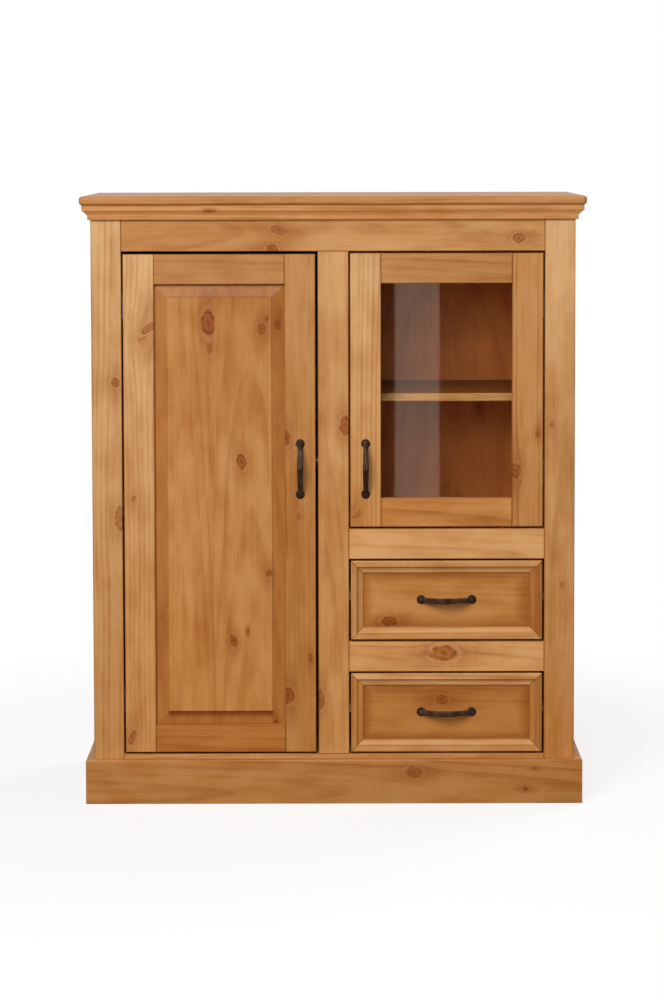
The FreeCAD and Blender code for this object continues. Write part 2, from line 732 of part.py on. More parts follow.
# Doors: stiles run through, rails between them.
for side, hand in HANDS.items():
    door, bottom, door_top = DOOR_NAMES[side], DOOR_LEVELS[side], DOOR_TOPS[side]
    lock = f"({STILE_EDGE} + {LOCK_GAPS[side]})"
    hinge = f"({POST_EDGE} - hinge_gap)"
    inner = f"({lock} + door_stile_width)"
    outer = f"({hinge} - door_stile_width)"
    sill = f"({bottom} + door_bottom_rail)"
    head = f"({door_top} - door_top_rail)"
    if side == "left":
        setback, depth = "groove_setback", "groove_depth"
        rear = "(groove_setback + groove_width)"
    else:
        setback, depth = "glass_setback", "glass_rebate"
        rear = "door_thickness"
    lock_plan = [(lock, "0"), (inner, "0"), (inner, setback), (f"{inner} - {depth}", setback),
                 (f"{inner} - {depth}", rear)]
    hinge_plan = [(hinge, "0"), (outer, "0"), (outer, setback), (f"{outer} + {depth}", setback),
                  (f"{outer} + {depth}", rear)]
    rail_plan = [(inner, "0"), (outer, "0"), (outer, setback), (f"{outer} + {depth}", setback),
                 (f"{outer} + {depth}", rear)]
    if side == "left":
        lock_plan += [(inner, rear), (inner, "door_thickness")]
        hinge_plan += [(outer, rear), (outer, "door_thickness")]
        rail_plan += [(outer, rear), (outer, "door_thickness"), (inner, "door_thickness"),
                      (inner, rear)]
    lock_plan.append((lock, "door_thickness"))
    hinge_plan.append((hinge, "door_thickness"))
    rail_plan += [(f"{inner} - {depth}", rear), (f"{inner} - {depth}", setback), (inner, setback)]

    lock_blank = slab(f"{door}_lock_blank", mirrored(hand, lock_plan), bottom, door_top)
    hinge_blank = slab(f"{door}_hinge_blank", mirrored(hand, hinge_plan), bottom, door_top)
    channel = mirrored(hand, oblong(f"{inner} - {depth}", f"{outer} + {depth}", setback, rear))
    for name, low, high, lift in (("bottom_rail", bottom, sill, "door_bottom_rail"),
                                  ("top_rail", head, door_top, depth)):
        body = doc.addObject("PartDesign::Body", f"{door}_{name}")
        pad(body, outline(body, "XY_Plane", mirrored(hand, rail_plan)), f"{high} - {low}")
        pocket(body, outline(body, "XY_Plane", channel, lift), depth)
        doc.recompute()
        round_edges(body, "ease_radius", on_front(body.Tip.Shape))
        keep(place(body, "0", FRONT, low))

    bores, cup_screws = stiles_tools[side]
    handle_line = f"{hand} * ({lock} + door_stile_width / 2)"
    bolts = [copy(door_bolt, handle_line, deep("door_thickness"),
                  f"handle_level + {end} * handle_spacing / 2", FACE_BACK) for end in (-1, 1)]
    handle = copy(bow_handle, handle_line, FRONT, "handle_level", ALONG_DOOR)
    handle.Label = f"{door}_handle"
    lock_cuts = bolts + [catch_barrel] if side == "left" else bolts
    keep(cut(f"{door}_lock_stile", lock_blank, group(f"{door}_lock_cuts", lock_cuts)),
         cut(f"{door}_hinge_stile", hinge_blank, group(f"{door}_hinge_cuts", bores + cup_screws)),
         group(f"{door}_screws", bolts + cup_screws), handle)

    width = f"({outer} - {inner})"
    height = f"({head} - {sill})"
    if side == "left":
        # Raised panel, drawn lying down: tongue, bevel, step and field.
        panel = doc.addObject("PartDesign::Body", f"{door}_panel")
        tongue = "(groove_depth - panel_play)"
        pad(panel, outline(panel, "XY_Plane", oblong(f"-{tongue}", f"{width} + {tongue}",
                                                     f"-{tongue}", f"{height} + {tongue}")),
            "groove_width")
        rim = outline(panel, "XY_Plane",
                      oblong("panel_play", f"{width} - panel_play", "panel_play",
                             f"{height} - panel_play"), "groove_width")
        edge = "(panel_play + panel_bevel)"
        field = oblong(edge, f"{width} - {edge}", edge, f"{height} - {edge}")
        shelf = outline(panel, "XY_Plane", field, "groove_width + panel_bevel_rise")
        bevel = panel.newObject("PartDesign::AdditiveLoft", f"{door}_panel_bevel")
        bevel.Profile = rim
        bevel.Sections = [shelf]
        bevel.Ruled = True
        panel.Tip = bevel
        pad(panel, outline(panel, "XY_Plane", field, "groove_width + panel_bevel_rise"), "panel_step")
        keep(place(panel, f"-{outer}", deep("groove_setback + groove_width"), sill,
                   axes(RIGHTWARD, UPWARD, FORWARD)))
    else:
        ledge = "(glass_rebate - glass_play)"
        keep(box("glass_pane", f"{width} + 2 * {ledge}", "glass_thickness", f"{height} + 2 * {ledge}",
                 f"{inner} - {ledge}", deep("glass_setback"), f"{sill} - {ledge}"))
        # Glazing beads, mitred, seen from behind.
        thick = "(door_thickness - glass_setback - glass_thickness)"
        bead = [("0", "0"), ("glass_rebate", "0"),
                ("glass_rebate", f"{thick} - bead_round", "bead_round"),
                ("glass_rebate - bead_round", thick), ("0", thick)]
        left, right = f"({inner} - glass_rebate)", f"({outer} + glass_rebate)"
        low, high = f"({sill} - glass_rebate)", f"({head} + glass_rebate)"
        behind = deep("glass_setback + glass_thickness")
        ring = [(f"({right} - {left})", (right, behind, low), axes(LEFTWARD, UPWARD, BACKWARD)),
                (f"({high} - {low})", (left, behind, low), axes(UPWARD, RIGHTWARD, BACKWARD)),
                (f"({right} - {left})", (left, behind, high), axes(RIGHTWARD, DOWNWARD, BACKWARD)),
                (f"({high} - {low})", (right, behind, high), axes(DOWNWARD, LEFTWARD, BACKWARD))]
        keep(group("glazing_beads",
                   [moulding("glazing_bead", bead, length, "glass_rebate", thick, base, turn)
                    for length, base, turn in ring]))

# Drawers, hung in grooves on tongued runners.
DRAWER_LEVELS = {"upper": UPPER_OPENING, "lower": "floor_level"}
front_left = f"({STILE_EDGE} + front_side_gap)"
front_right = f"({POST_EDGE} - front_side_gap)"
box_left = f"({STILE_EDGE} + box_clearance)"
box_right = f"({POST_EDGE} - box_clearance)"
box_end = "(frame_thickness + box_length)"
inner_left = f"({box_left} + box_side_thickness)"
inner_right = f"({box_right} - box_side_thickness)"
front_moulding = [
    ("0", "0"), ("moulding_width", "0"),
    ("moulding_width", "moulding_inner_height", "-moulding_cove_radius"),
    ("moulding_band", "moulding_thickness - moulding_quirk"), ("moulding_band", "moulding_thickness"),
    ("moulding_edge_radius", "moulding_thickness", "moulding_edge_radius"),
    ("0", "moulding_thickness - moulding_edge_radius")]
for name, opening in DRAWER_LEVELS.items():
    drawer = f"{name}_drawer"
    bottom = f"({opening} + front_end_gap)"
    top = f"({opening} + drawer_opening - front_end_gap)"
    middle = f"(({bottom} + {top}) / 2)"
    base = f"({bottom} + box_lift)"
    rim = f"({base} + box_height)"
    bolts = [copy(drawer_bolt, f"{DRAWER_MIDDLE} + {end} * handle_spacing / 2",
                  deep("frame_thickness"), middle, FACE_BACK) for end in (-1, 1)]
    bolt_set = group(f"{drawer}_screws", bolts)
    front_blank = slab(f"{drawer}_front_blank",
                       oblong(front_left, front_right, "moulding_thickness", "frame_thickness"),
                       bottom, top, eased=False)
    handle = copy(bow_handle, DRAWER_MIDDLE, deep("moulding_thickness"), middle, ALONG_DRAWER)
    handle.Label = f"{drawer}_handle"
    face = deep("moulding_thickness")
    width, height = f"({front_right} - {front_left})", f"({top} - {bottom})"
    ring = [(width, (front_left, face, bottom), axes(RIGHTWARD, UPWARD, FORWARD)),
            (height, (front_right, face, bottom), axes(UPWARD, LEFTWARD, FORWARD)),
            (width, (front_right, face, top), axes(LEFTWARD, DOWNWARD, FORWARD)),
            (height, (front_left, face, top), axes(DOWNWARD, RIGHTWARD, FORWARD))]
    keep(cut(f"{drawer}_front", front_blank, bolt_set),
         group(f"{drawer}_mouldings",
               [moulding(f"{drawer}_moulding", front_moulding, length, "moulding_width",
                         "moulding_thickness", corner, turn)
                for length, corner, turn in ring]),
         bolt_set, handle)

    # Box: sides grooved outside for the runners and inside for the bottom.
    groove_low = f"({base} + runner_lift)"
    groove_high = f"({groove_low} + runner_tongue_height + 2 * runner_play)"
    floor_low = f"({base} + box_bottom_lift)"
    floor_high = f"({floor_low} + box_bottom_thickness)"
    walls = []
    for side, outer, inner, way in (("left", box_left, inner_left, "+"),
                                    ("right", box_right, inner_right, "-")):
        back_way = "-" if way == "+" else "+"
        slot = f"{outer} {way} runner_groove_depth"
        notch = f"{inner} {back_way} box_bottom_groove"
        walls.append(strip(f"{drawer}_{side}_side",
                           [(outer, base), (outer, groove_low), (slot, groove_low), (slot, groove_high),
                            (outer, groove_high), (outer, rim), (inner, rim), (inner, floor_high),
                            (notch, floor_high), (notch, floor_low), (inner, floor_low), (inner, base)],
                           "frame_thickness", box_end))
    keep(group(f"{drawer}_sides", walls),
         slab(f"{drawer}_back",
              oblong(inner_left, inner_right, f"{box_end} - box_side_thickness", box_end),
              floor_high, f"({rim} - box_back_drop)", eased=False),
         slab(f"{drawer}_bottom",
              oblong(f"{inner_left} - box_bottom_groove", f"{inner_right} + box_bottom_groove",
                     "frame_thickness", box_end),
              floor_low, floor_high, eased=False))

    # Runners: a base on the partition or the side board, a tongue in the groove.
    tongue_low = f"({groove_low} + runner_play)"
    tongue_high = f"({tongue_low} + runner_tongue_height)"
    spread = "(runner_base_height - runner_tongue_height) / 2"
    runner_end = f"({BACK_FACE} - runner_back_gap)"
    runners = []
    for side, wall, edge, tip, start in (
            ("left", PARTITION_FACE, STILE_EDGE, f"({box_left} + runner_groove_depth - runner_play)",
             "frame_thickness"),
            ("right", WALL_FACE, POST_EDGE, f"({box_right} - runner_groove_depth + runner_play)",
             "post_depth")):
        base_part = strip(f"{drawer}_{side}_runner_base",
                          oblong(wall, edge, f"{tongue_low} - {spread}", f"{tongue_high} + {spread}"),
                          start, runner_end)
        tongue_part = strip(f"{drawer}_{side}_runner_tongue",
                            oblong(edge, tip, tongue_low, tongue_high), "frame_thickness", runner_end)
        runners.append(fused(f"{drawer}_{side}_runner", [base_part, tongue_part]))
    keep(group(f"{drawer}_runners", runners))

doc.recompute()
for node in nodes:
    if "Invalid" in node.State or "Error" in node.State:
        raise RuntimeError(f"{node.Label} did not recompute")
    if node.Shape.isNull() or not node.Shape.isValid():
        raise RuntimeError(f"{node.Label} has no valid shape")
    node.Shape.exportStep(f"parts/{node.Label}.step")
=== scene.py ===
# %% [markdown]
# # A lacquered pine highboard
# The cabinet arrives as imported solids: posts, rails, two doors, two drawers and their fittings.
# Their shapes and places are already right, so this lesson is about the finish of each piece:
# boards with grain, rings and knots, worn bronze handles, plated hinges and a pane of glass.

# %% Load the cabinet
import math

import bmesh
import bpy
from mathutils import Matrix, Vector


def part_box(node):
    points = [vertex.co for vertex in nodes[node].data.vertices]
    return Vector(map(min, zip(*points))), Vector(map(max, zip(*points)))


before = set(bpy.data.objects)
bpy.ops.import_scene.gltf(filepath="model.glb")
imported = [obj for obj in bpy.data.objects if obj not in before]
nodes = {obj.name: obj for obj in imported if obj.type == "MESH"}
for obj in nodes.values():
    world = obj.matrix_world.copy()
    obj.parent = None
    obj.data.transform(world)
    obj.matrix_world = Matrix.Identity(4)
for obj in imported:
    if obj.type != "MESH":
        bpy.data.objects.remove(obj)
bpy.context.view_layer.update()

# %% [markdown]
# ## Camera
# The picture was taken from about five metres and from a little above the top, with the sides
# nearly upright. A long lens with a little vertical shift keeps the sides upright, where
# tilting the camera down alone would make them lean together.

# %% Set the camera
CAMERA_PLACE = (-0.0011, -5.2196, 1.2536)
CAMERA_TURN, CAMERA_TILT, CAMERA_ROLL = 0.0002, -0.0647, -0.0022
FOCAL_PIXELS, LONG_SIDE, SENSOR = 2691.5, 1000, 36.0
DOWN_SHIFT = -0.185

scene = bpy.context.scene
camera = bpy.data.objects.new("camera", bpy.data.cameras.new("camera"))
scene.collection.objects.link(camera)
scene.camera = camera
camera.data.sensor_width = SENSOR
camera.data.lens = FOCAL_PIXELS * SENSOR / LONG_SIDE
camera.data.shift_y = DOWN_SHIFT
turn = Matrix.Rotation(CAMERA_TURN, 4, "Z")
tilt = Matrix.Rotation(math.pi / 2 + CAMERA_TILT, 4, "X")
roll = Matrix.Rotation(CAMERA_ROLL, 4, "Z")
camera.matrix_world = Matrix.Translation(CAMERA_PLACE) @ turn @ tilt @ roll
print("lens", round(camera.data.lens, 2), "mm")

# %% [markdown]
# ## Colours
# Shaders work in linear light, while a paint chart gives display values from 0 to 255.
# One small helper turns a chart colour into the shader's colour, so that colours can be
# written down as they look. Dark values lie on a straight line, all others on a curve.

# %% Colour helper
CHART_FULL = 255
LINE_END, LINE_SLOPE = 0.04045, 12.92
CURVE_LIFT, CURVE_POWER = 0.055, 2.4


def chart(red, green, blue):
    """A chart colour, 0 to 255, as the linear colour that a shader takes."""
    def linear(value):
        share = value / CHART_FULL
        if share <= LINE_END:
            return share / LINE_SLOPE
        return ((share + CURVE_LIFT) / (1 + CURVE_LIFT)) ** CURVE_POWER
    return (linear(red), linear(green), linear(blue), 1.0)


print("pine in linear light:", [round(c, 3) for c in chart(200, 150, 98)])

# %% [markdown]
# ## White room
# The cabinet stands before plain white. A white world alone would light the wood from all sides
# and wash out its colour. So Light Path splits the world in two: the camera, mirrors and glass
# see white, and the light that falls on the wood is a weak, even fill.

# %% White room
WHITE = (1.0, 1.0, 1.0, 1.0)
FILL = 0.2

scene.view_settings.view_transform = "Standard"


def seen_directly(tree):
    """1 for what the camera, a mirror or glass sees, 0 for the light that falls on things."""
    path = tree.nodes.new("ShaderNodeLightPath")
    total = path.outputs["Is Camera Ray"]
    for ray in ("Is Glossy Ray", "Is Transmission Ray"):
        either = tree.nodes.new("ShaderNodeMath")
        either.operation = "MAXIMUM"
        tree.links.new(total, either.inputs[0])
        tree.links.new(path.outputs[ray], either.inputs[1])
        total = either.outputs[0]
    return total


def two_ways(tree, unseen, seen, output):
    """One shader for the light, another for the eye."""
    mix = tree.nodes.new("ShaderNodeMixShader")
    tree.links.new(seen_directly(tree), mix.inputs[0])
    tree.links.new(unseen.outputs[0], mix.inputs[1])
    tree.links.new(seen.outputs[0], mix.inputs[2])
    tree.links.new(mix.outputs[0], output.inputs["Surface"])


world = bpy.data.worlds.new("white_room")
scene.world = world
world.use_nodes = True
sky = world.node_tree
fill_light = sky.nodes["Background"]
fill_light.inputs["Color"].default_value = WHITE
fill_light.inputs["Strength"].default_value = FILL
white_wall = sky.nodes.new("ShaderNodeBackground")
white_wall.inputs["Color"].default_value = WHITE
white_wall.inputs["Strength"].default_value = 1.0
two_ways(sky, fill_light, white_wall, sky.nodes["World Output"])
print("fill", FILL)

# %% [markdown]
# ## Floor
# The cabinet needs something to stand on, or it would float. A grid of a single face, wide enough
# to have no visible end, is all that takes.

# %% Floor sheet
FLOOR_SIZE = 30.0


def studio_object(name, shape):
    """Turns a bmesh into an object of the studio."""
    mesh = bpy.data.meshes.new(name)
    shape.to_mesh(mesh)
    shape.free()
    thing = bpy.data.objects.new(name, mesh)
    scene.collection.objects.link(thing)
    return thing


sheet = bmesh.new()
bmesh.ops.create_grid(sheet, x_segments=1, y_segments=1, size=FLOOR_SIZE / 2)
floor = studio_object("floor", sheet)
print("floor", FLOOR_SIZE, "m wide")

# %% [markdown]
# The floor keeps the cabinet's shadow close by and turns into plain white further off, so that no
# horizon shows. For the eye it is a mix of white paper, which takes a shadow, and a white glow,
# which takes none, by the distance from the middle. For the light that it throws back up it is
# a brown carpet, because a white one would brighten the plinth from below.

# %% Floor finish
FLOOR_BOUNCE = (0.16, 0.10, 0.06, 1.0)
SHADOW_SHARE = 0.24
SHADOW_NEAR, SHADOW_FAR = 0.7, 1.6


def new_material(name):
    """A material with nodes, which starts with the usual shader."""
    material = bpy.data.materials.new(name)
    material.use_nodes = True
    return material


pale = new_material("pale_floor")
ground = pale.node_tree
ground.nodes.remove(ground.nodes["Principled BSDF"])
carpet = ground.nodes.new("ShaderNodeBsdfDiffuse")
carpet.inputs["Color"].default_value = FLOOR_BOUNCE
paper = ground.nodes.new("ShaderNodeBsdfDiffuse")
paper.inputs["Color"].default_value = WHITE
glow = ground.nodes.new("ShaderNodeEmission")
where = ground.nodes.new("ShaderNodeTexCoord")
from_middle = ground.nodes.new("ShaderNodeVectorMath")
from_middle.operation = "LENGTH"
ground.links.new(where.outputs["Object"], from_middle.inputs[0])
shadow = ground.nodes.new("ShaderNodeMapRange")
shadow.interpolation_type = "SMOOTHSTEP"
for pin, value in zip(shadow.inputs[1:], (SHADOW_NEAR, SHADOW_FAR, SHADOW_SHARE, 0.0)):
    pin.default_value = value
ground.links.new(from_middle.outputs["Value"], shadow.inputs[0])
seen_floor = ground.nodes.new("ShaderNodeMixShader")
ground.links.new(shadow.outputs[0], seen_floor.inputs[0])
ground.links.new(glow.outputs[0], seen_floor.inputs[1])
ground.links.new(paper.outputs[0], seen_floor.inputs[2])
two_ways(ground, carpet, seen_floor, ground.nodes["Material Output"])
floor.data.materials.append(pale)
print("shadow gone", SHADOW_FAR, "m from the middle")

# %% [markdown]
# ## Lamps
# One large soft lamp, high in front and to the left, gives the shading. A narrow upright lamp
# stands in for a window and leaves the one pale band that shows in the glass door. A third lamp
# fills the back for a look from there, and mirrors don't see it. All three are flat area lamps,
# because their size sets how soft the shadows are.

# %% Lamps
KEY_PLACE, KEY_AIM, KEY_SIZE, KEY_POWER = (-1.2, -4.2, 3.1), (0.0, -0.17, 0.75), 3.0, 246.0
STRIP_PLACE, STRIP_WIDTH, STRIP_HEIGHT = (0.247, -3.0, 0.5), 0.131, 2.2
STRIP_GLOW, STRIP_TINT = 1.13, (1.0, 0.77, 0.62)
REAR_PLACE, REAR_AIM, REAR_SIZE, REAR_POWER = (3.2, 3.0, 2.4), (0.0, 0.0, 0.6), 2.5, 120.0


def lamp(name, place, aim, width, height, power, tint=(1.0, 1.0, 1.0)):
    """A flat lamp that shines from its place towards its aim and that the camera doesn't see."""
    light = bpy.data.lights.new(name, "AREA")
    light.shape = "RECTANGLE"
    light.size = width
    light.size_y = height
    light.energy = power
    light.color = tint
    holder = bpy.data.objects.new(name, light)
    holder.location = place
    holder.rotation_euler = (Vector(aim) - Vector(place)).to_track_quat("-Z", "Y").to_euler()
    holder.visible_camera = False
    scene.collection.objects.link(holder)
    return holder


lamp("key", KEY_PLACE, KEY_AIM, KEY_SIZE, KEY_SIZE, KEY_POWER)
strip_power = STRIP_GLOW * math.pi * STRIP_WIDTH * STRIP_HEIGHT
strip_aim = (STRIP_PLACE[0], 0.0, STRIP_PLACE[2])
lamp("window_strip", STRIP_PLACE, strip_aim, STRIP_WIDTH, STRIP_HEIGHT, strip_power, STRIP_TINT)
rear_fill = lamp("rear_fill", REAR_PLACE, REAR_AIM, REAR_SIZE, REAR_SIZE, REAR_POWER)
rear_fill.visible_glossy = False

# %% [markdown]
# ## Dark cloth
# In a white room the lacquer and the pane would mirror white and look milky. A dark cloth lies on
# the floor before the cabinet and hangs up in front of the camera. Only mirrors and glass see
# it, so it keeps the glass clear and the lacquer's colour deep. It is one edge, extruded twice.

# %% Dark cloth
CLOTH_NEAR, CLOTH_FAR, CLOTH_LIFT = -0.7, -4.3, 0.01
CLOTH_WIDTH, CLOTH_HEIGHT = 16.0, 1.45
CLOTH_COLOUR = (0.02, 0.014, 0.008, 1.0)

drape = bmesh.new()
ends = [drape.verts.new((side * CLOTH_WIDTH / 2, CLOTH_NEAR, CLOTH_LIFT)) for side in (-1, 1)]
hem = [drape.edges.new(ends)]
for run in ((0.0, CLOTH_FAR - CLOTH_NEAR, 0.0), (0.0, 0.0, CLOTH_HEIGHT)):
    grown = bmesh.ops.extrude_edge_only(drape, edges=hem)["geom"]
    tips = [part for part in grown if isinstance(part, bmesh.types.BMVert)]
    edges = [part for part in grown if isinstance(part, bmesh.types.BMEdge)]
    hem = [edge for edge in edges if all(tip in tips for tip in edge.verts)]
    bmesh.ops.translate(drape, verts=tips, vec=run)
dark_wall = studio_object("dark_wall", drape)
for ray in ("camera", "diffuse", "shadow", "volume_scatter"):
    setattr(dark_wall, "visible_" + ray, False)

dim = new_material("dark_cloth")
weave = dim.node_tree
weave.nodes.remove(weave.nodes["Principled BSDF"])
cloth = weave.nodes.new("ShaderNodeEmission")
cloth.inputs["Color"].default_value = CLOTH_COLOUR
weave.links.new(cloth.outputs[0], weave.nodes["Material Output"].inputs["Surface"])
dark_wall.data.materials.append(dim)
print("cloth:", len(dark_wall.data.polygons), "faces")

# %% [markdown]
# ## Sums in a node tree
# Wood grain is a formula: rings round the heart of the tree, pushed aside by knots. Written as
# nodes by hand that is hundreds of boxes. A small class lets a value on its way through the tree
# be added and multiplied as any number, and each sum makes its Math node.

# %% Values that make nodes
class Wire:
    """A value on its way through a node tree."""

    def __init__(self, tree, socket):
        self.tree = tree
        self.socket = socket

    def maths(self, operation, *others):
        """The result of a Math node."""
        node = self.tree.nodes.new("ShaderNodeMath")
        node.operation = operation
        for pin, value in zip(node.inputs, (self, *others)):
            plug(self.tree, value, pin)
        return Wire(self.tree, node.outputs[0])

    def __add__(self, other):
        return self.maths("ADD", other)

    def __sub__(self, other):
        return self.maths("SUBTRACT", other)

    def __mul__(self, other):
        return self.maths("MULTIPLY", other)

    def __truediv__(self, other):
        return self.maths("DIVIDE", other)

    def fade(self, low, high, start=0.0, end=1.0):
        """Goes smoothly from start to end between low and high."""
        node = self.tree.nodes.new("ShaderNodeMapRange")
        node.interpolation_type = "SMOOTHSTEP"
        for pin, value in zip(node.inputs, (self, low, high, start, end)):
            plug(self.tree, value, pin)
        return Wire(self.tree, node.outputs[0])


def plug(tree, value, pin):
    """Links a wire to a node's input, or sets the input to a plain value."""
    if isinstance(value, Wire):
        tree.links.new(value.socket, pin)
    else:
        pin.default_value = value


print("sums ready")

# %% [markdown]
# No two boards are alike, so the formula needs chance as well. Noise gives soft clouds that can
# be stretched along the grain, and white noise gives each ring or stave a number of its own.
# Both depend on the place alone, so the wood is the same in every render.

# %% Noise, chance and mixed colours
def point(tree, x, y, z):
    """A place made of three values."""
    node = tree.nodes.new("ShaderNodeCombineXYZ")
    for pin, value in zip(node.inputs, (x, y, z)):
        plug(tree, value, pin)
    return Wire(tree, node.outputs[0])


def cloud(tree, place, scale=1.0, detail=2.0):
    """Soft noise, from about -0.5 to 0.5."""
    node = tree.nodes.new("ShaderNodeTexNoise")
    plug(tree, place, node.inputs["Vector"])
    node.inputs["Scale"].default_value = scale
    node.inputs["Detail"].default_value = detail
    return Wire(tree, node.outputs["Fac"]) - 0.5


def chance(tree, value):
    """A number from 0 to 1 that is different for each value."""
    node = tree.nodes.new("ShaderNodeTexWhiteNoise")
    node.noise_dimensions = "1D"
    plug(tree, value, node.inputs["W"])
    return Wire(tree, node.outputs["Value"])


def blend(tree, share, first, second, how="MIX"):
    """Mixes two colours."""
    node = tree.nodes.new("ShaderNodeMix")
    node.data_type = "RGBA"
    node.blend_type = how
    colours = [pin for pin in node.inputs if pin.type == "RGBA"]
    plug(tree, share, node.inputs[0])
    plug(tree, first, colours[0])
    plug(tree, second, colours[1])
    return Wire(tree, [pin for pin in node.outputs if pin.type == "RGBA"][0])


print("noise and colours ready")

# %% [markdown]
# The formulas for a knot and for pine serve every board. As node groups they are written once,
# and the material of a board only sets their inputs.

# %% Node groups
FLOAT, COLOUR = "NodeSocketFloat", "NodeSocketColor"


def shared_group(name, entries, results):
    """A node group with named inputs and outputs. Returns its tree and input wires."""
    tree = bpy.data.node_groups.new(name, "ShaderNodeTree")
    for entry in entries:
        tree.interface.new_socket(entry, in_out="INPUT", socket_type=FLOAT)
    for result, kind in results.items():
        tree.interface.new_socket(result, in_out="OUTPUT", socket_type=kind)
    start = tree.nodes.new("NodeGroupInput")
    tree.nodes.new("NodeGroupOutput")
    return tree, [Wire(tree, start.outputs[entry]) for entry in entries]


def give(tree, **results):
    """Hands the results of a node group to its outputs."""
    end = next(node for node in tree.nodes if node.type == "GROUP_OUTPUT")
    for result, value in results.items():
        plug(tree, value, end.inputs[result])


def use(tree, group, **values):
    """Places a node group in a tree and sets its inputs."""
    node = tree.nodes.new("ShaderNodeGroup")
    node.node_tree = group
    for name, value in values.items():
        plug(tree, value, node.inputs[name])
    return node


print("groups ready")

# %% [markdown]
# ## A knot
# A knot is a branch that the trunk has grown round. The grain flows past it as water flows past
# a post, and that flow has a simple formula: a fibre is pushed aside by the square of the knot's
# radius over its distance. Two clouds of noise bend the outline, so that no two knots are alike.

# %% Outline of a knot
KNOT_EFFECTS = ("Shove", "Core", "Rim", "Halo")
KNOT_INPUTS = ("Across", "Along", "At_across", "At_along", "Radius", "Tall", "Slant", "Strength",
               *KNOT_EFFECTS)
KNOT_FLOW, KNOT_WARP = 2.6, 0.9
OUTLINE_NOISE, KNOT_DETAIL = 0.8, 3.0
NOISE_STEP, SECOND_NOISE = 50.0, 9.0

knot_tree, wires = shared_group("knot", KNOT_INPUTS, dict.fromkeys(KNOT_EFFECTS, FLOAT))
(across, along, at_across, at_along, radius, tall, slant, strength,
 shove, core, rim, halo) = wires
aside = across - at_across
up = along - at_along - aside * slant
around = point(knot_tree, aside / radius, up / radius, at_along * NOISE_STEP)
apart = point(knot_tree, aside / radius, up / radius, at_along * NOISE_STEP + SECOND_NOISE)
wide = aside / radius + cloud(knot_tree, around, OUTLINE_NOISE, KNOT_DETAIL) * KNOT_WARP
high = up / (radius * tall) + cloud(knot_tree, apart, OUTLINE_NOISE, KNOT_DETAIL) * KNOT_WARP
oval = (wide * wide + high * high).maths("SQRT")
far = aside * aside + (up / KNOT_FLOW).maths("POWER", 2.0)
swerve = aside * radius * radius / far.maths("MAXIMUM", radius * radius)
print("knot outline:", len(knot_tree.nodes), "nodes")

# %% [markdown]
# In the board the knot is a brown oval with fine rings and a dark pith, in a darker rim that is
# broken in places, and round it lies a warm halo with ripples. Each is a band of the distance
# from the knot's middle, with the outline at 1. Where two knots meet, the stronger one shows.

# %% Colours of a knot
CORE_FULL, CORE_END, CORE_BASE = 0.75, 1.1, 0.8
CORE_RINGS, CORE_RING_SHARE = 11.0, 0.16
CORE_NOISE, CORE_NOISE_SHARE = 2.0, 0.5
RIM_START, RIM_FULL, RIM_LAST, RIM_END = 0.62, 0.92, 0.94, 1.2
BREAK_NOISE, BREAK_LOW, BREAK_HIGH, BREAK_LEAST = 1.1, -0.12, 0.15, 0.15
PITH_FULL, PITH_END = 0.1, 0.7
SMALL_KNOT, LARGE_KNOT, LARGE_PITH = 0.004, 0.01, 0.35
HALO_NOISE, HALO_WARP = 0.9, 1.4
HALO_FULL, HALO_END, HALO_BASE = 0.6, 3.2, 0.8
RIPPLES, RIPPLE_END, RIPPLE_SHARE = 8.0, 2.6, 0.3

inner = ((oval * CORE_RINGS).maths("SINE") * CORE_RING_SHARE
         + cloud(knot_tree, around, CORE_NOISE, KNOT_DETAIL) * CORE_NOISE_SHARE + CORE_BASE)
brown = oval.fade(CORE_FULL, CORE_END, 1.0, 0.0) * inner
broken = cloud(knot_tree, around, BREAK_NOISE).fade(BREAK_LOW, BREAK_HIGH, BREAK_LEAST, 1.0)
pith_size = radius.fade(SMALL_KNOT, LARGE_KNOT, 1.0, LARGE_PITH)
pith = oval.fade(PITH_FULL, PITH_END, 1.0, 0.0) * pith_size
ringed = oval.fade(RIM_START, RIM_FULL) * oval.fade(RIM_LAST, RIM_END, 1.0, 0.0) * broken
spread = far.maths("SQRT") / radius + cloud(knot_tree, apart, HALO_NOISE) * HALO_WARP
ripple = (oval * RIPPLES).maths("SINE") * oval.fade(1.0, RIPPLE_END, 1.0, 0.0)
warm = spread.fade(HALO_FULL, HALO_END, 1.0, 0.0) * (ripple * RIPPLE_SHARE + HALO_BASE)
give(
    knot_tree,
    Shove=shove - swerve,
    Core=core.maths("MAXIMUM", brown * strength),
    Rim=rim.maths("MAXIMUM", (ringed + pith) * strength),
    Halo=halo.maths("MAXIMUM", warm * strength),
)
print("knot group:", len(knot_tree.nodes), "nodes")

# %% [markdown]
# ## Pine
# Each year leaves a ring that fades from pale early wood to brown late wood and then starts again.
# A board is a slice through these rings, so its pattern comes from the distance to the tree's
# heart: a heart far to one side gives straight stripes, and one behind the face gives arches.
# Slow noise makes the rings wander, and some years leave a weaker ring than others.

# %% Rings of the tree
PINE_INPUTS = ("Across", "Through", "Along", "Shove", "Core", "Rim", "Halo", "Edge",
               "Heart_across", "Heart_depth", "Lean", "Ring", "Seed", "Tone", "Stain", "Figure")
WANDER, TREMBLE = 0.018, 0.0018
# Each noise: how fine it is across and along the grain, and a shift that sets it apart.
SWAY, SWELL, SHIVER = (4.0, 1.1, 0.0), (4.0, 1.3, 7.0), (45.0, 5.0, 3.0)
LATE_START, LATE_FULL, LATE_LAST = 0.45, 0.9, 0.92
WEAK_YEAR = 0.25

pine_tree, wires = shared_group(
    "pine", PINE_INPUTS, {"Colour": COLOUR, "Roughness": FLOAT, "Relief": FLOAT})
(across, through, along, shove, core, rim, halo, edge,
 heart_across, heart_depth, lean, ring, seed, tone, stain, drawn) = wires


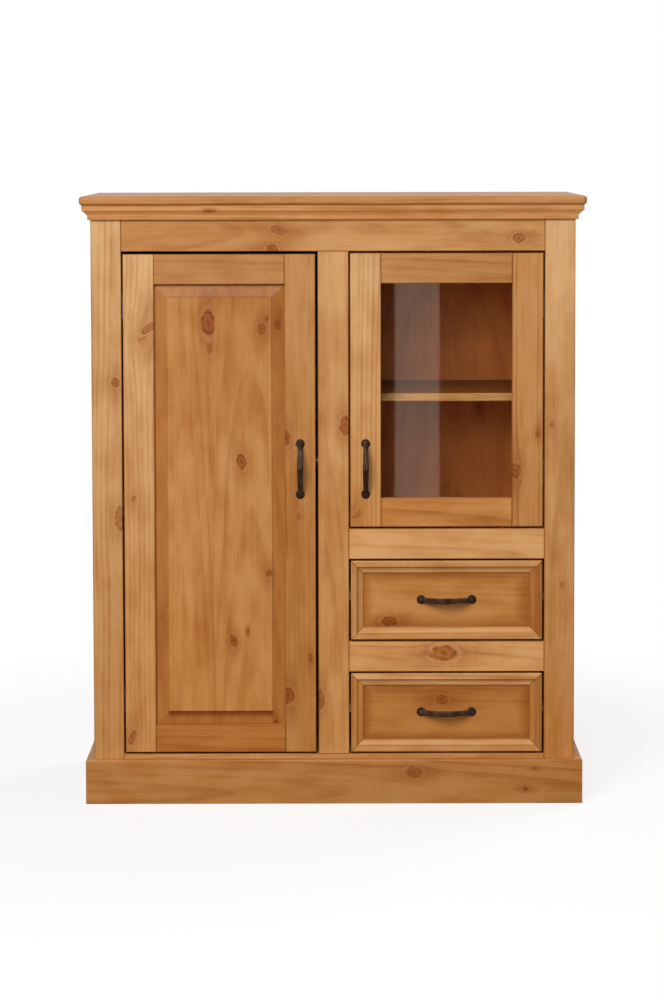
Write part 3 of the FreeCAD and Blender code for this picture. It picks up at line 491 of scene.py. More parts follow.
def along_grain(wide, long, shift):
    """A place for noise that is stretched along the grain."""
    return point(pine_tree, across * wide + seed, through * wide + shift, along * long + seed)


sway = cloud(pine_tree, along_grain(*SWAY))
swell = cloud(pine_tree, along_grain(*SWELL))
shiver = cloud(pine_tree, along_grain(*SHIVER))
from_heart = across + shove - heart_across + sway * WANDER
behind = through - heart_depth - lean * along + swell * WANDER
distance = (from_heart.maths("POWER", 2.0) + behind.maths("POWER", 2.0)).maths("SQRT")
year = (distance + shiver * TREMBLE) / ring
number = year.maths("FLOOR")
part = year - number
late = part.fade(LATE_START, LATE_FULL) * part.fade(LATE_LAST, 1.0, 1.0, 0.0)
late = late * (chance(pine_tree, number + seed) * (1 - WEAK_YEAR) + WEAK_YEAR)
print("rings:", len(pine_tree.nodes), "nodes")

# %% [markdown]
# Over the rings lie streaks, slow patches, mottle, fine fibres and dark flecks. Then come the
# knots, and last the stain, which has soaked in unevenly. Stain is a colour that multiplies, so
# a stain above 1 is laid on in several coats, as a painter would do.

# %% Colour of the wood
EARLY_WOOD, LATE_WOOD = chart(208, 164, 112), chart(172, 122, 70)
KNOT_BROWN, RIM_BROWN, HALO_BROWN = chart(162, 93, 40), chart(102, 52, 10), chart(156, 95, 40)
DEEP_STAIN = (0.86, 0.60, 0.32, 1.0)
COATS = (0.0, 1.0, 2.0)
STREAKS, PATCHES, MOTTLE = (95.0, 2.2, 11.0), (9.0, 2.6, 5.0), (34.0, 13.0, 23.0)
FIBRES, FLECKS = (620.0, 11.0, 13.0), (330.0, 26.0, 17.0)
FINE, FINEST = 3.0, 4.0
FLECK_LOW, FLECK_HIGH = 0.2, 0.27
STREAK_SHADE, PATCH_SHADE, LEAST_SHADE = 0.95, 0.9, 0.1
HALO_SHARE, RIM_SHARE = 0.68, 0.8
EDGE_STAIN_AND_SHADE, UNEVEN_STAIN = 0.5, 0.7
FIBRE_SHADE, EDGE_SHADE, FLECK_SHADE = 0.26, 0.22, 0.16
LACQUER_ROUGH, FIBRE_ROUGH, LATE_GLOSS, KNOT_GLOSS = 0.46, 0.12, 0.06, 0.08

streaks = cloud(pine_tree, along_grain(*STREAKS), detail=FINE)
patches = cloud(pine_tree, along_grain(*PATCHES), detail=FINE)
fibres = cloud(pine_tree, along_grain(*FIBRES), detail=FINE)
flecks = cloud(pine_tree, along_grain(*FLECKS)).fade(FLECK_LOW, FLECK_HIGH)
mottle = cloud(pine_tree, along_grain(*MOTTLE), detail=FINEST)
shade = late * drawn + streaks * STREAK_SHADE + patches * PATCH_SHADE + mottle + LEAST_SHADE
colour = blend(pine_tree, shade, EARLY_WOOD, LATE_WOOD)
colour = blend(pine_tree, halo * HALO_SHARE, colour, HALO_BROWN)
colour = blend(pine_tree, core, colour, KNOT_BROWN)
colour = blend(pine_tree, rim * RIM_SHARE, colour, RIM_BROWN)
# Edge adds stain on eased edges and quirks, painted shade at the joints, and the raised field's
# painted shadow.
depth = stain + edge * EDGE_STAIN_AND_SHADE + patches * UNEVEN_STAIN + mottle * UNEVEN_STAIN
for coat in COATS:
    colour = blend(pine_tree, depth - coat, colour, DEEP_STAIN, "MULTIPLY")
bright = tone * (fibres * FIBRE_SHADE + 1.0)
bright = bright * (edge * -EDGE_SHADE + 1.0) * (flecks * -FLECK_SHADE + 1.0)
grey = point(pine_tree, bright, bright, bright)
give(
    pine_tree,
    Colour=blend(pine_tree, 1.0, colour, grey, "MULTIPLY"),
    Roughness=late * -LATE_GLOSS + fibres * FIBRE_ROUGH + core * -KNOT_GLOSS + LACQUER_ROUGH,
    Relief=fibres,
)
print("pine group:", len(pine_tree.nodes), "nodes")

# %% [markdown]
# ## Lacquer
# The boards have a satin lacquer over open grain. The shader takes the colour and the roughness
# from the wood, and a Bump node lifts the fibres a little, which needs no change to the mesh.

# %% Shader and piece
SHEEN = 0.2
RELIEF_DEPTH, RELIEF_STRENGTH = 0.0004, 0.25
finished = {}


def surface(colour, roughness, relief, strength=RELIEF_STRENGTH):
    """Sets the shader from wires for its colour, roughness and relief."""
    tree = colour.tree
    shader = tree.nodes["Principled BSDF"]
    shader.inputs["Specular IOR Level"].default_value = SHEEN
    plug(tree, colour, shader.inputs["Base Color"])
    plug(tree, roughness, shader.inputs["Roughness"])
    bump = tree.nodes.new("ShaderNodeBump")
    bump.inputs["Strength"].default_value = strength
    bump.inputs["Distance"].default_value = RELIEF_DEPTH
    plug(tree, relief, bump.inputs["Height"])
    tree.links.new(bump.outputs[0], shader.inputs["Normal"])
    return shader


def dress(node, material):
    """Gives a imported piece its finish."""
    mesh = nodes[node].data
    mesh.materials.clear()
    mesh.materials.append(material)
    finished[node] = material.name


print("lacquer sheen", SHEEN)

# %% [markdown]
# ## A board and its grain
# Every board gets its own slice of tree. A Mapping node moves the pattern to the middle of the
# board and turns it so that the grain runs along the board. A class keeps what belongs to one
# board together: its material, its axes and the values that the pine group is to get.

# %% Board
AXES = {"x": Vector((1, 0, 0)), "y": Vector((0, 1, 0)), "z": Vector((0, 0, 1))}
FIRST_SEED, SEED_STEP = 1.3, 3.7


def turned(along, face):
    """The turn that lays the grain along one axis with the broad side facing another."""
    wide = AXES[face].cross(AXES[along])
    return Matrix((wide, AXES[face], AXES[along])).transposed()


def placed(tree, middle, turn):
    """Object coordinates, moved to the board's middle and turned to its grain."""
    where = tree.nodes.new("ShaderNodeTexCoord")
    mapping = tree.nodes.new("ShaderNodeMapping")
    mapping.vector_type = "TEXTURE"
    mapping.inputs["Location"].default_value = middle
    mapping.inputs["Rotation"].default_value = turn.to_euler()
    tree.links.new(where.outputs["Object"], mapping.inputs["Vector"])
    parts = tree.nodes.new("ShaderNodeSeparateXYZ")
    tree.links.new(mapping.outputs[0], parts.inputs[0])
    return [Wire(tree, pin) for pin in parts.outputs]


class Board:
    """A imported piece, its pine and half its size across, through and along the grain."""

    def __init__(self, node, along, face):
        self.node = node
        self.seed = SEED_STEP * len(finished) + FIRST_SEED
        low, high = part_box(node)
        self.middle = (low + high) / 2
        turn = turned(along, face)
        self.to_grain = turn.transposed()
        self.half = Vector([abs(side) for side in self.to_grain @ (high - low) / 2])
        self.material = new_material("pine_" + node)
        self.tree = self.material.node_tree
        self.across, self.through, self.length = placed(self.tree, self.middle, turn)
        self.staves = None
        self.values = {}

    def lay(self):
        """Hands the values to the pine group and gives the piece this finish."""
        figure = use(self.tree, pine_tree, **self.values)
        surface(*[Wire(self.tree, pin) for pin in figure.outputs])
        dress(self.node, self.material)


print("grain can run along", ", ".join(AXES))

# %% [markdown]
# ## Stain over a board
# Stain isn't even on the real boards. It gathers on the eased edges, which also carry painted
# shade at the joints, and many boards are paler at one end. These helpers change the tone, which
# is how bright the wood is, and the stain from place to place, so that one board needs only one
# material.

# %% Edges and ends
EASED = 0.0027


def near_edge(across, along, half, width=EASED):
    """1 on the edges of a board, for stain and painted shade, and 0 further in than the width."""
    half_across, half_along = half
    past_side = across.maths("ABSOLUTE") - half_across
    past_end = along.maths("ABSOLUTE") - half_along
    return past_side.maths("MAXIMUM", past_end).fade(-width, 0.0)


def end_to_end(value, length, half, middle):
    """A single value, or one that changes evenly between a board's two ends, or one that eases
    through a list of stops, each a place along the board and the value there."""
    if isinstance(value, list):
        (place, now), *stops = value
        total = now
        for next_place, then in stops:
            total = length.fade(place - middle, next_place - middle, 0.0, then - now) + total
            place, now = next_place, then
        return total
    if isinstance(value, tuple):
        first, second = value
        return length * ((second - first) / (2 * half)) + (first + second) / 2
    return value


def recolour(board, share, tone, stain):
    """Another tone and stain where share is 1."""
    board.values["Tone"] = share.fade(0.0, 1.0, board.values["Tone"], tone)
    board.values["Stain"] = share.fade(0.0, 1.0, board.values["Stain"], stain)


def darken(board, share, shade, stain):
    """A darker tone and more stain where share is 1."""
    board.values["Tone"] = (share * -shade + 1.0) * board.values["Tone"]
    board.values["Stain"] = share * stain + board.values["Stain"]


print("eased edges", EASED * 1000, "mm wide")

# %% [markdown]
# ## Staves
# Wide boards are glued up from narrow staves, and each stave comes from another place in the
# tree. A separate material for each would need cuts in the mesh. Instead the place across the
# board tells which stave it is, and the stave's number draws its own heart, tone and seed.

# %% Staves
STAVE_SLIDE, STAVE_HEART, STAVE_DEPTH = 1.9, 0.06, 0.07
STAVE_TONE, STAVE_SEED = 0.12, 4.1
DEPTH_DRAW, TONE_DRAW = 0.5, 0.2


def glue_up(board, width, start):
    """Gives each stave its own wood. One seam lies at start, measured from the middle."""
    tree, values = board.tree, board.values
    count = ((board.across - start) / width).maths("FLOOR")
    draw = count + board.seed
    luck = chance(tree, draw)
    values["Across"] = board.across - start - (count + 0.5) * width
    values["Along"] = board.length + luck * STAVE_SLIDE
    values["Heart_across"] = luck * STAVE_HEART - STAVE_HEART / 2 + values["Heart_across"]
    values["Heart_depth"] = chance(tree, draw + DEPTH_DRAW) * STAVE_DEPTH + values["Heart_depth"]
    values["Tone"] = (chance(tree, draw + TONE_DRAW) - 0.5) * STAVE_TONE + values["Tone"]
    values["Seed"] = count * STAVE_SEED + board.seed
    board.staves = (count, width, start)


print("tone differs by up to", STAVE_TONE, "from stave to stave")

# %% [markdown]
# ## Raised field
# The left door's panel is raised: its field stands out of a sloping border. The border is
# painted darker and browner as painted shade in that recess, a painted shadow lies below the
# field's lower edge, and a thin dark line runs along its upper one. All of this is colour,
# since the imported solid already has the slope.

# %% Raised field
# painted shade on the raised field's sloping border, and a painted shadow below the field
BEVEL_SHADE_STAIN, BEVEL_SHADE = 0.35, 0.14
FIELD_SHADOW_REACH, FIELD_SHADOW_STRENGTH, CREST_LINE, STEP_STAIN_AND_SHADOW = 0.014, 1.7, 0.5, 0.45


def raise_field(board, half_across, half_along):
    """Paints shade beyond the field, a painted shadow below its lower end and a dark line along
    its upper end.
    """
    border = near_edge(board.across, board.length, (half_across, half_along))
    darken(board, border, BEVEL_SHADE, BEVEL_SHADE_STAIN)
    below = board.length * -1.0 - half_along
    above = board.length - half_along
    # painted shadow: a brown line below the field's lower edge
    painted_shadow = below.fade(-EASED, 0.0) * below.fade(0.0, FIELD_SHADOW_REACH, FIELD_SHADOW_STRENGTH, 0.0)
    crest = above.fade(-EASED, 0.0) * above.fade(0.0, EASED, CREST_LINE, 0.0)
    aside = board.across.maths("ABSOLUTE")
    within = aside.fade(half_across - EASED, half_across + EASED, 1.0, 0.0)
    board.values["Edge"] = (painted_shadow + crest) * within
    board.values["Stain"] = board.values["Edge"] * STEP_STAIN_AND_SHADOW + board.values["Stain"]


print("pool of stain", FIELD_SHADOW_REACH * 1000, "mm wide")

# %% [markdown]
# ## Knots on a board
# The knots of a board are a chain of knot groups, and each passes on what the ones before it did.
# A seam between staves cuts a knot off, so on a glued board a knot only shows in its own stave.

# %% Knots on a board
SAME = 0.5


def grow_knots(board, face, knots):
    """Chains the knots of a board. A knot is its two places on the face, its radius, how tall it
    is for its width, how far it slants and how strongly it shows."""
    effects = dict.fromkeys(KNOT_EFFECTS, 0.0)
    flat = [axis for axis in "xyz" if axis != face]
    for first, second, radius, tall, slant, strength in knots:
        spot = board.middle.copy()
        setattr(spot, flat[0], first)
        setattr(spot, flat[1], second)
        spot = board.to_grain @ (spot - board.middle)
        if board.staves:
            count, width, start = board.staves
            own = math.floor((spot.x - start) / width)
            strength = count.maths("COMPARE", own, SAME) * strength
        knot = use(board.tree, knot_tree, Across=board.across, Along=board.length,
                   At_across=spot.x, At_along=spot.z, Radius=radius, Tall=tall, Slant=slant,
                   Strength=strength, **effects)
        effects = {name: Wire(board.tree, knot.outputs[name]) for name in effects}
    board.values.update(effects)


print("a knot's effects:", KNOT_EFFECTS)

# %% [markdown]
# ## One board
# Now a whole board is one call. It starts with the plain wood and adds what the board asks for:
# a lighter strip of painted light, another look on its rear side, staves, edges with stain and
# painted shade, a darker border, a raised field and knots.

# %% One board
BARE = (9.0, 9.0)
DARKER_BORDER_WIDTH, DARKER_BORDER_STAIN, DARKER_BORDER_SHADE = 0.03, 0.7, 0.25


def pine(node, along, face="y", heart=(0.0, 0.05), lean=0.03, ring=0.0065, tone=1.0, stain=0.3,
         drawn=0.6, stave=None, knots=(), shown=None, field=None, strip=None, darker_border=None,
         rear=None):
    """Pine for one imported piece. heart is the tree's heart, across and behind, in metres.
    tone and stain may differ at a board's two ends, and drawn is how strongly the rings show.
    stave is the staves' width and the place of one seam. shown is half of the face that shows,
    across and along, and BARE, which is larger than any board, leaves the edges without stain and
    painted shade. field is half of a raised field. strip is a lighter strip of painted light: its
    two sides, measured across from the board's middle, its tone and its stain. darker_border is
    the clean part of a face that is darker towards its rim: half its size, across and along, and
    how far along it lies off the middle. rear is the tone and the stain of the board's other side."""
    board = Board(node, along, face)
    across, length, half = board.across, board.length, board.half
    middle = getattr(board.middle, along)
    board.values = dict(
        Across=across, Through=board.through, Along=length, Seed=board.seed,
        Heart_across=heart[0], Heart_depth=heart[1], Lean=lean, Ring=ring, Figure=drawn,
        Tone=end_to_end(tone, length, half.z, middle),
        Stain=end_to_end(stain, length, half.z, middle))
    if strip:
        first, last, *look = strip
        inside = across.fade(first, first + EASED) * across.fade(last - EASED, last, 1.0, 0.0)
        recolour(board, inside, *look)
    if rear:
        recolour(board, board.through.fade(0.0, half.y / 2), *rear)
    if stave:
        glue_up(board, *stave)
    if shown is None:
        shown = (half.x, half.z) if face == "y" else BARE
    board.values["Edge"] = near_edge(across, length, shown)
    if darker_border:
        *clean, offset = darker_border
        rim = near_edge(across, length - offset, clean, DARKER_BORDER_WIDTH)
        darken(board, rim, DARKER_BORDER_SHADE, DARKER_BORDER_STAIN)
    if field:
        raise_field(board, *field)
    grow_knots(board, face, knots)
    board.lay()


print("darker_border", DARKER_BORDER_WIDTH * 1000, "mm wide")

# %% [markdown]
# ## The front frame
# The posts and stiles stand, so their grain runs up; the rails lie, so theirs runs across. Where
# tone or stain is a pair, it goes from the lower or left end to the upper or right one. Knots
# are where a branch happened to be, so these are set one by one, in metres on the front.

# %% Posts, stiles and rails
pine("left_front_post", "z", heart=(0.07, 0.05), lean=0.012, ring=0.0075, tone=(0.96, 1.03),
     stain=(0.85, 0.0), drawn=0.45,
     knots=[(-0.4101, 0.8002, 0.0070, 1.2, 0.0, 0.9), (-0.4010, 0.5425, 0.0105, 2.0, 0.0, 0.6)])
pine("right_front_post", "z", heart=(0.02, 0.085), lean=0.02, ring=0.009, tone=(0.97, 1.06),
     stain=(1.1, 0.0), drawn=0.3,
     knots=[(0.4110, 0.7190, 0.0050, 1.4, 0.0, 0.5), (0.4320, 0.4150, 0.0040, 1.8, 0.4, 0.4)])
pine("centre_stile", "z", heart=(-0.02, 0.07), lean=0.025, ring=0.008, tone=(1.07, 1.0),
     stain=(0.78, 0.38), drawn=0.4,
     knots=[(0.0215, 0.7179, 0.0090, 1.8, 0.0, 0.9), (-0.0275, 0.1958, 0.0090, 2.0, 0.0, 0.75)])
pine("top_rail", "x", heart=(0.01, 0.06), lean=0.05, ring=0.008, tone=(0.89, 1.02),
     stain=(0.9, 0.45), drawn=0.4,
     knots=[(-0.1016, 1.0867, 0.0085, 1.6, 0.6, 0.6), (-0.1149, 1.0510, 0.0080, 1.3, 0.0, 0.9),
            (0.3488, 1.0707, 0.0085, 1.3, 0.0, 0.75)])
pine("middle_rail", "x", heart=(0.03, 0.05), lean=0.02, ring=0.008, tone=1.17, stain=0.5,
     drawn=0.4)
pine("drawer_rail", "x", heart=(0.015, 0.05), lean=0.03, ring=0.007, tone=1.2, stain=0.55,
     knots=[(0.2085, 0.2848, 0.0130, 1.75, 0.0, 1.0), (0.1764, 0.2849, 0.0045, 1.5, 0.0, 0.4)])
print("front frame:", len(finished), "boards")

# %% [markdown]
# ## Top, cornice and plinth
# The top is glued up from staves. The cornice and the plinth are long narrow lengths whose grain
# follows them round the corner. The hollow of the cornice lies in the shade of the top's
# overhang, so a lighter strip with its own tone and stain paints light into it.

# %% Top, cornice and plinth
STAVE = 0.095
# painted light: a lighter strip over the cornice's hollow, which lies in the top's shadow
COVE_PAINTED_LIGHT = (-0.0055, 0.0085, 1.5, 0.45)

pine("top_board", "x", "z", heart=(0.0, 0.02), stave=(STAVE, 0.0), stain=0.8, tone=0.86)
pine("cornice_front", "x", heart=(0.04, 0.05), lean=0.01, ring=0.007, tone=1.02, stain=0.8,
     strip=COVE_PAINTED_LIGHT, knots=[(-0.2311, 1.1232, 0.0035, 3.2, 0.0, 0.8)])
pine("plinth_front", "x", heart=(0.02, 0.06), lean=0.03, ring=0.0085, tone=0.9, stain=0.92,
     shown=BARE,
     knots=[(0.1510, 0.0603, 0.0100, 1.4, 0.0, 0.75), (0.3625, 0.0276, 0.0042, 1.1, 0.0, 0.9),
            (0.3796, 0.0674, 0.0025, 1.2, 0.0, 0.6)])
for hand in ("left", "right"):
    pine(f"cornice_{hand}", "y", "x", heart=(0.04, 0.05), lean=0.01, ring=0.007, tone=1.06,
         stain=0.8)
    pine(f"plinth_{hand}", "y", "x", heart=(0.02, 0.06), ring=0.0085, tone=0.9, stain=0.92)
print("with top, cornice and plinth:", len(finished), "boards")

# %% [markdown]
# ## Sides, partition and shelves
# These wide boards are all glued up from staves. Behind the glass the wood is deep in the shade
# and looks darker and redder than lamps alone would make it, so the boards inside are painted
# darker with lower tones and more stain, a painted shade. Only the front edge of the display
# shelf catches the light, and a lighter strip paints that light on.

# %% Sides, partition and shelves
# painted light: a lighter strip along the display shelf's front edge
SHELF_EDGE_PAINTED_LIGHT = (-0.2, -0.134, 0.57, 0.85)

pine("left_side_panel", "z", "x", heart=(0.0, 0.02), stave=(STAVE, 0.0), stain=(0.9, 0.4),
     knots=[(0.02, 0.83, 0.010, 1.4, 0.0, 0.7), (0.12, 0.46, 0.008, 1.3, 0.2, 0.6),
            (-0.06, 0.25, 0.006, 1.6, 0.0, 0.8), (0.155, 1.02, 0.005, 1.5, 0.0, 0.5)])
pine("right_side_panel", "z", "x", heart=(0.0, 0.02), stave=(STAVE, 0.0), stain=(0.9, 0.4),
     knots=[(0.10, 0.92, 0.009, 1.4, 0.0, 0.6), (-0.03, 0.61, 0.007, 1.5, 0.0, 0.8),
            (0.07, 0.30, 0.011, 1.3, 0.1, 0.7), (0.16, 0.52, 0.004, 1.8, 0.0, 0.5)])
pine("partition", "z", "x", heart=(0.0, 0.02), stave=(STAVE, 0.0), tone=1.15, stain=1.5)
# The low tones and heavy stains below paint the shade inside the cabinet, darkest on the display
# shelf.
for shelf, tone, stain, strip in (
        ("floor_board", 0.9, 0.7, None), ("display_floor", 0.65, 1.6, None),
        ("display_shelf", 0.33, 2.4, SHELF_EDGE_PAINTED_LIGHT), ("cupboard_shelf", 0.8, 1.3, None)):
    pine(shelf, "x", "z", heart=(0.0, 0.02), stave=(STAVE, 0.0), tone=tone, stain=stain,
         strip=strip)
pine("rear_bearer", "x", heart=(0.02, 0.03))
print("with the carcass:", len(finished), "boards")

# %% [markdown]
# ## Doors
# Each door is a frame of two stiles and two rails. The rails' ends are hidden in the stiles, so
# the part of a rail that shows is given, and the stain lies on its visible edges. The left door
# holds the raised panel, glued up from two staves whose seam cuts a large knot short.

# %% Left door
TOP_SHOWN, BOTTOM_SHOWN = (0.0285, 0.123), (0.027, 0.123)

pine("left_door_hinge_stile", "z", heart=(0.09, 0.03), lean=0.01, ring=0.0085, tone=1.06,
     stain=(0.85, -0.05), knots=[
         (-0.3460, 0.9040, 0.0150, 0.55, 0.6, 0.85), (-0.3600, 0.8820, 0.0090, 0.35, 0.3, 0.55),
         (-0.3770, 0.5804, 0.0040, 1.2, 0.5, 0.6), (-0.3830, 0.1242, 0.0085, 1.2, 0.9, 0.7)])
pine("left_door_lock_stile", "z", heart=(-0.08, 0.04), lean=0.012, ring=0.008, tone=0.9,
     stain=(1.0, 0.75), knots=[
         (-0.0885, 0.6954, 0.0070, 1.9, 0.0, 0.8), (-0.0865, 0.2036, 0.0100, 1.5, 0.0, 0.9),
         (-0.0432, 0.2739, 0.0040, 2.2, 0.0, 0.6), (-0.0653, 0.5456, 0.0045, 1.6, 0.0, 0.4)])
pine("left_door_top_rail", "x", heart=(0.01, 0.04), lean=0.01, ring=0.008, tone=0.87, stain=0.75,
     shown=TOP_SHOWN)
pine("left_door_bottom_rail", "x", heart=(0.03, 0.04), lean=0.01, ring=0.0075, tone=0.94,
     stain=1.4, shown=BOTTOM_SHOWN)
pine("left_door_panel", "z", heart=(0.0, 0.02), lean=0.035, ring=0.0095, tone=(1.03, 0.88),
     stain=0.87, drawn=0.34, stave=(0.13, -0.0096), shown=BARE, field=(0.099, 0.394), knots=[
         (-0.2343, 0.9126, 0.0125, 1.85, 0.0, 1.0), (-0.2328, 0.8634, 0.0060, 1.6, 0.0, 0.55),
         (-0.1344, 0.9011, 0.0075, 1.4, 0.3, 0.7), (-0.1249, 0.9200, 0.0040, 1.3, 0.0, 0.7),
         (-0.1042, 0.9086, 0.0060, 1.6, 0.0, 0.6), (-0.1730, 0.6490, 0.0085, 1.5, -0.3, 0.9),
         (-0.1224, 0.4380, 0.0055, 1.3, 0.0, 0.85), (-0.1892, 0.3087, 0.0065, 1.6, -0.5, 0.9),
         (-0.1626, 0.3258, 0.0030, 2.6, 0.0, 0.85), (-0.1100, 0.1522, 0.0042, 1.2, 0.0, 0.85)])
print("with the left door:", len(finished), "boards")

# %% [markdown]
# The glass door has the same frame round its pane. Its two stiles come from different boards: the
# one at the handle is pale towards the top, the one at the hinges browner throughout.

# %% Glass door frame
pine("glass_door_lock_stile", "z", heart=(0.07, 0.03), lean=0.012, ring=0.008, tone=1.06,
     stain=(0.9, -0.15), knots=[(0.0440, 0.5492, 0.0085, 0.7, 0.5, 0.5)])
pine("glass_door_hinge_stile", "z", heart=(-0.07, 0.04), lean=0.012, ring=0.008, tone=0.95,
     stain=0.82, knots=[
         (0.3430, 0.6320, 0.0095, 1.4, 0.0, 0.85), (0.3846, 0.7020, 0.0040, 1.8, 0.0, 0.6)])
pine("glass_door_top_rail", "x", heart=(0.02, 0.04), lean=0.02, ring=0.009, tone=0.87, stain=0.75,
     shown=TOP_SHOWN)
pine("glass_door_bottom_rail", "x", heart=(0.02, 0.05), lean=0.02, ring=0.009, tone=1.04,
     stain=0.92, shown=BOTTOM_SHOWN)
print("with both doors:", len(finished), "boards")

# %% [markdown]
# ## Drawers
# The drawer fronts are flat boards with a mitred moulding laid round them, and towards the
# moulding they are darker. The sides and backs of the boxes, and the runners that carry them,
# are plain pine.

# %% Drawer boxes
DRAWER_FRONTS = {
    "upper": dict(tone=1.02, stain=0.88, darker_border=(0.057, 0.158, -0.005),
                  knots=[(0.1047, 0.3443, 0.0085, 1.7, 0.0, 0.9)]),
    "lower": dict(tone=0.95, stain=1.15, darker_border=(0.060, 0.161, -0.001),
                  knots=[(0.2050, 0.1935, 0.0085, 1.2, 0.15, 0.75)]),
}
BOX_PIECES = {"sides": ("y", "x"), "back": ("x", "y"), "runners": ("y", "x")}

for drawer, look in DRAWER_FRONTS.items():
    pine(f"{drawer}_drawer_front", "x", heart=(0.03, 0.05), lean=0.03, ring=0.008, drawn=0.28,
         shown=BARE, **look)
    for piece, (along, face) in BOX_PIECES.items():
        pine(f"{drawer}_drawer_{piece}", along, face, heart=(0.03, 0.04), tone=1.06, stain=0.0)
print("with the drawers:", len(finished), "boards")

# %% [markdown]
# The drawer mouldings and the glazing beads are four lengths each, mitred at the corners. One
# material serves all four: a place nearer to the left or right edge than to the top or bottom
# belongs to an upright length, and its grain runs up. Each length is cut from another board, so
# it has its own tone and stain, and dark lines lie in the mitres and in the moulding's quirks.

# %% Mitred lengths
QUIRKS, QUIRK_WIDTH, QUIRK_LINE = (0.0115, 0.0232), 0.0022, 0.6
MITRE_WIDTH, MITRE_LINE = 0.0018, 1.9
RIGHT, LEFT, TOP, BOTTOM = 1.0, -1.0, 2.0, -2.0
LENGTH_WOOD = dict(Heart_across=0.03, Heart_depth=0.035, Lean=0.012, Ring=0.007, Figure=0.6)
LENGTH_SEED = 2.3


def mitred(node, lengths, quirks=()):
    """Pine for four lengths that meet in mitres, each with its tone and stain. More stain gathers
    in the quirks, which are given by their distance from the outer edge."""
    board = Board(node, "z", "y")
    x, z = board.across, board.length
    from_side = x.maths("ABSOLUTE") * -1.0 + board.half.x
    from_end = z.maths("ABSOLUTE") * -1.0 + board.half.z
    upright = from_side.maths("LESS_THAN", from_end)
    lying = upright * -1.0 + 1.0
    across = from_side * upright + from_end * lying
    which = x.maths("SIGN") * upright + z.maths("SIGN") * lying * TOP
    off_mitre = (from_side - from_end).maths("ABSOLUTE")
    lines = off_mitre.fade(0.0, MITRE_WIDTH, MITRE_LINE, 0.0)
    for quirk in quirks:
        off_quirk = (across - quirk).maths("ABSOLUTE")
        lines = lines.maths("MAXIMUM", off_quirk.fade(0.0, QUIRK_WIDTH, QUIRK_LINE, 0.0))
    tone, stain = 0.0, 0.0
    for side, (own_tone, own_stain) in lengths.items():
        own = which.maths("COMPARE", side, SAME)
        tone = own * own_tone + tone
        stain = own * own_stain + stain
    board.values = dict(Across=across, Through=board.through, Along=z * upright + x * lying,
                        Edge=lines, Tone=tone, Stain=stain,
                        Seed=which * LENGTH_SEED + board.seed, **LENGTH_WOOD)
    board.lay()


mitred("upper_drawer_mouldings", {RIGHT: (0.80, 1.22), LEFT: (1.05, 0.6), TOP: (1.1, 0.55),
                                  BOTTOM: (1.04, 0.62)}, QUIRKS)
mitred("lower_drawer_mouldings", {RIGHT: (0.86, 1.0), LEFT: (1.0, 0.95), TOP: (1.18, 0.3),
                                  BOTTOM: (1.05, 0.5)}, QUIRKS)
mitred("glazing_beads", dict.fromkeys((RIGHT, LEFT, TOP, BOTTOM), (1.05, 1.2)))
print("with the mitred lengths:", len(finished), "pieces")

# %% [markdown]
# ## Plywood
# The back and the drawer bottoms are thin plywood. Its face is peeled from the log in one long
# ribbon, so the rings show as wide, wandering bands. Behind the glass the render's light falls off
# too steeply below the top and below the shelf. Paler stops there, in metres of height and tone,
# make up for part of it, and the outside of that panel stays plain.

# %% Plywood
PALE_BELOW_SHELVES = [(0.563, 0.70), (0.66, 1.04), (0.725, 1.68), (0.775, 0.86), (0.86, 1.16),
                      (0.95, 1.85)]
BACK_TONE, BACK_STAIN = 0.95, 1.0


def plywood(node, along, face, tone, stain, knots=(), rear=None):
    """Peeled pine: a heart far behind the face and wide rings."""
    pine(node, along, face, heart=(0.01, 0.30), lean=0.07, ring=0.012, tone=tone, stain=stain,
         drawn=0.35, knots=knots, shown=BARE, rear=rear)


plywood("left_back_panel", "z", "y", tone=BACK_TONE, stain=BACK_STAIN)
# Inside, this panel takes heavy stain as painted shade, and its paler stops are painted light. Its
# rear keeps the plain look.
plywood("right_back_panel", "z", "y", tone=PALE_BELOW_SHELVES, stain=2.6,
        knots=[(0.2943, 0.7168, 0.006, 1.5, 0.0, 0.8)], rear=(BACK_TONE, BACK_STAIN))
for drawer in DRAWER_FRONTS:
    plywood(f"{drawer}_drawer_bottom", "x", "z", tone=1.0, stain=0.1)
print("with the plywood:", len(finished), "pieces")

# %% [markdown]
# ## Metal
# The handles are cast and darkened to look like old bronze, nearly black with browner patches.
# Hinges, screws and pins are plated steel, and the catch and its strike are duller. One formula
# serves all three: noise mixes two colours, and where the metal is lighter it is smoother too.

# %% Bronze and steel
WORN_LOW, WORN_HIGH, WORN_DETAIL, WORN_GLOSS = -0.18, 0.22, 4.0, 0.25
GRAIN_FINER, GRAIN_ROUGH, GRAIN_RELIEF = 9.0, 0.15, 0.12


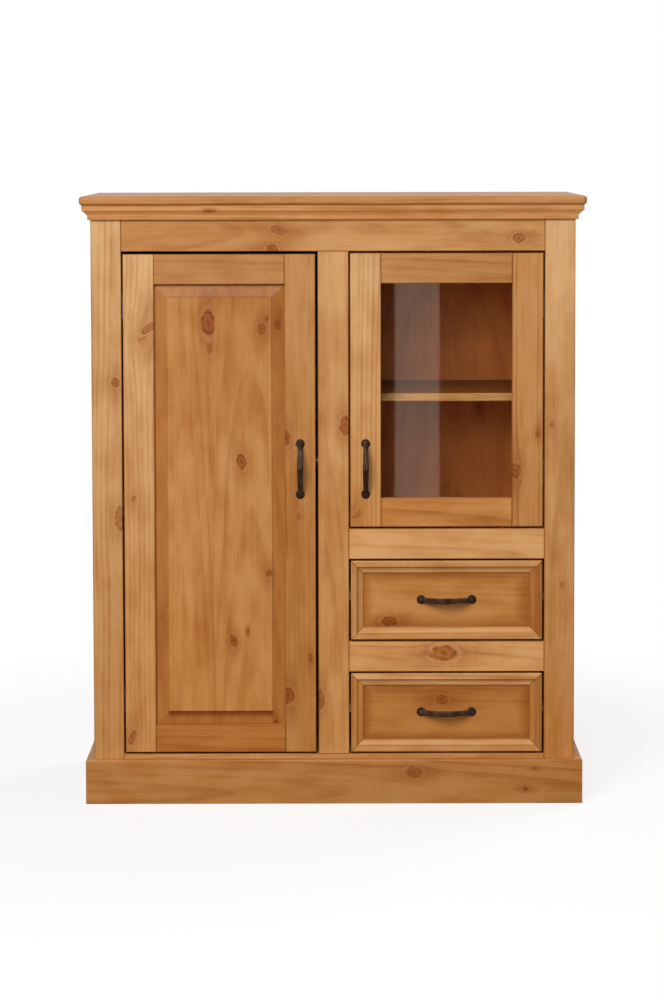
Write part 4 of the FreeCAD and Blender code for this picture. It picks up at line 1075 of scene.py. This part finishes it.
def metal(name, dark, light, rough, speck):
    """A metal whose colour and gloss change in small patches."""
    material = new_material(name)
    tree = material.node_tree
    where = tree.nodes.new("ShaderNodeTexCoord")
    place = Wire(tree, where.outputs["Object"])
    worn = cloud(tree, place, speck, WORN_DETAIL)
    grain = cloud(tree, place, speck * GRAIN_FINER)
    colour = blend(tree, worn.fade(WORN_LOW, WORN_HIGH), dark, light)
    roughness = worn * -WORN_GLOSS + grain * GRAIN_ROUGH + rough
    shader = surface(colour, roughness, grain, GRAIN_RELIEF)
    shader.inputs["Metallic"].default_value = 1.0
    return material


bronze = metal("antique_bronze", chart(52, 40, 31), chart(84, 66, 51), rough=0.68, speck=60.0)
steel = metal("plated_steel", chart(176, 176, 172), chart(206, 206, 202), rough=0.32, speck=90.0)
dull_steel = metal("dull_steel", chart(104, 84, 62), chart(136, 112, 84), rough=0.55, speck=120.0)
for finish, endings in ((bronze, ("_handle",)),
                        (steel, ("_screws", "_arms", "_cups", "_pins")),
                        (dull_steel, ("_catch", "_strike"))):
    fittings = [node for node in sorted(nodes) if node.endswith(endings)]
    for node in fittings:
        dress(node, finish)
    print(finish.name, len(fittings), "pieces")

# %% [markdown]
# ## Glass
# The pane is clear, with the faint green of common glass. Real glass lets lamp light through, but
# the renderer would draw a full shadow behind it, so shadow rays pass a clear shader.

# %% Glass pane
PANE_TINT = chart(246, 250, 247)
GLASS_ROUGH, GLASS_BEND = 0.02, 1.5

clear = new_material("clear_glass")
tree = clear.node_tree
pane = tree.nodes["Principled BSDF"]
pane.inputs["Base Color"].default_value = PANE_TINT
pane.inputs["Roughness"].default_value = GLASS_ROUGH
pane.inputs["IOR"].default_value = GLASS_BEND
pane.inputs["Transmission Weight"].default_value = 1.0
lets_light = tree.nodes.new("ShaderNodeBsdfTransparent")
lets_light.inputs["Color"].default_value = PANE_TINT
path = tree.nodes.new("ShaderNodeLightPath")
either = tree.nodes.new("ShaderNodeMixShader")
tree.links.new(path.outputs["Is Shadow Ray"], either.inputs[0])
tree.links.new(pane.outputs[0], either.inputs[1])
tree.links.new(lets_light.outputs[0], either.inputs[2])
tree.links.new(either.outputs[0], tree.nodes["Material Output"].inputs["Surface"])
dress("glass_pane", clear)
print("left without a finish:", sorted(set(nodes) - set(finished)))
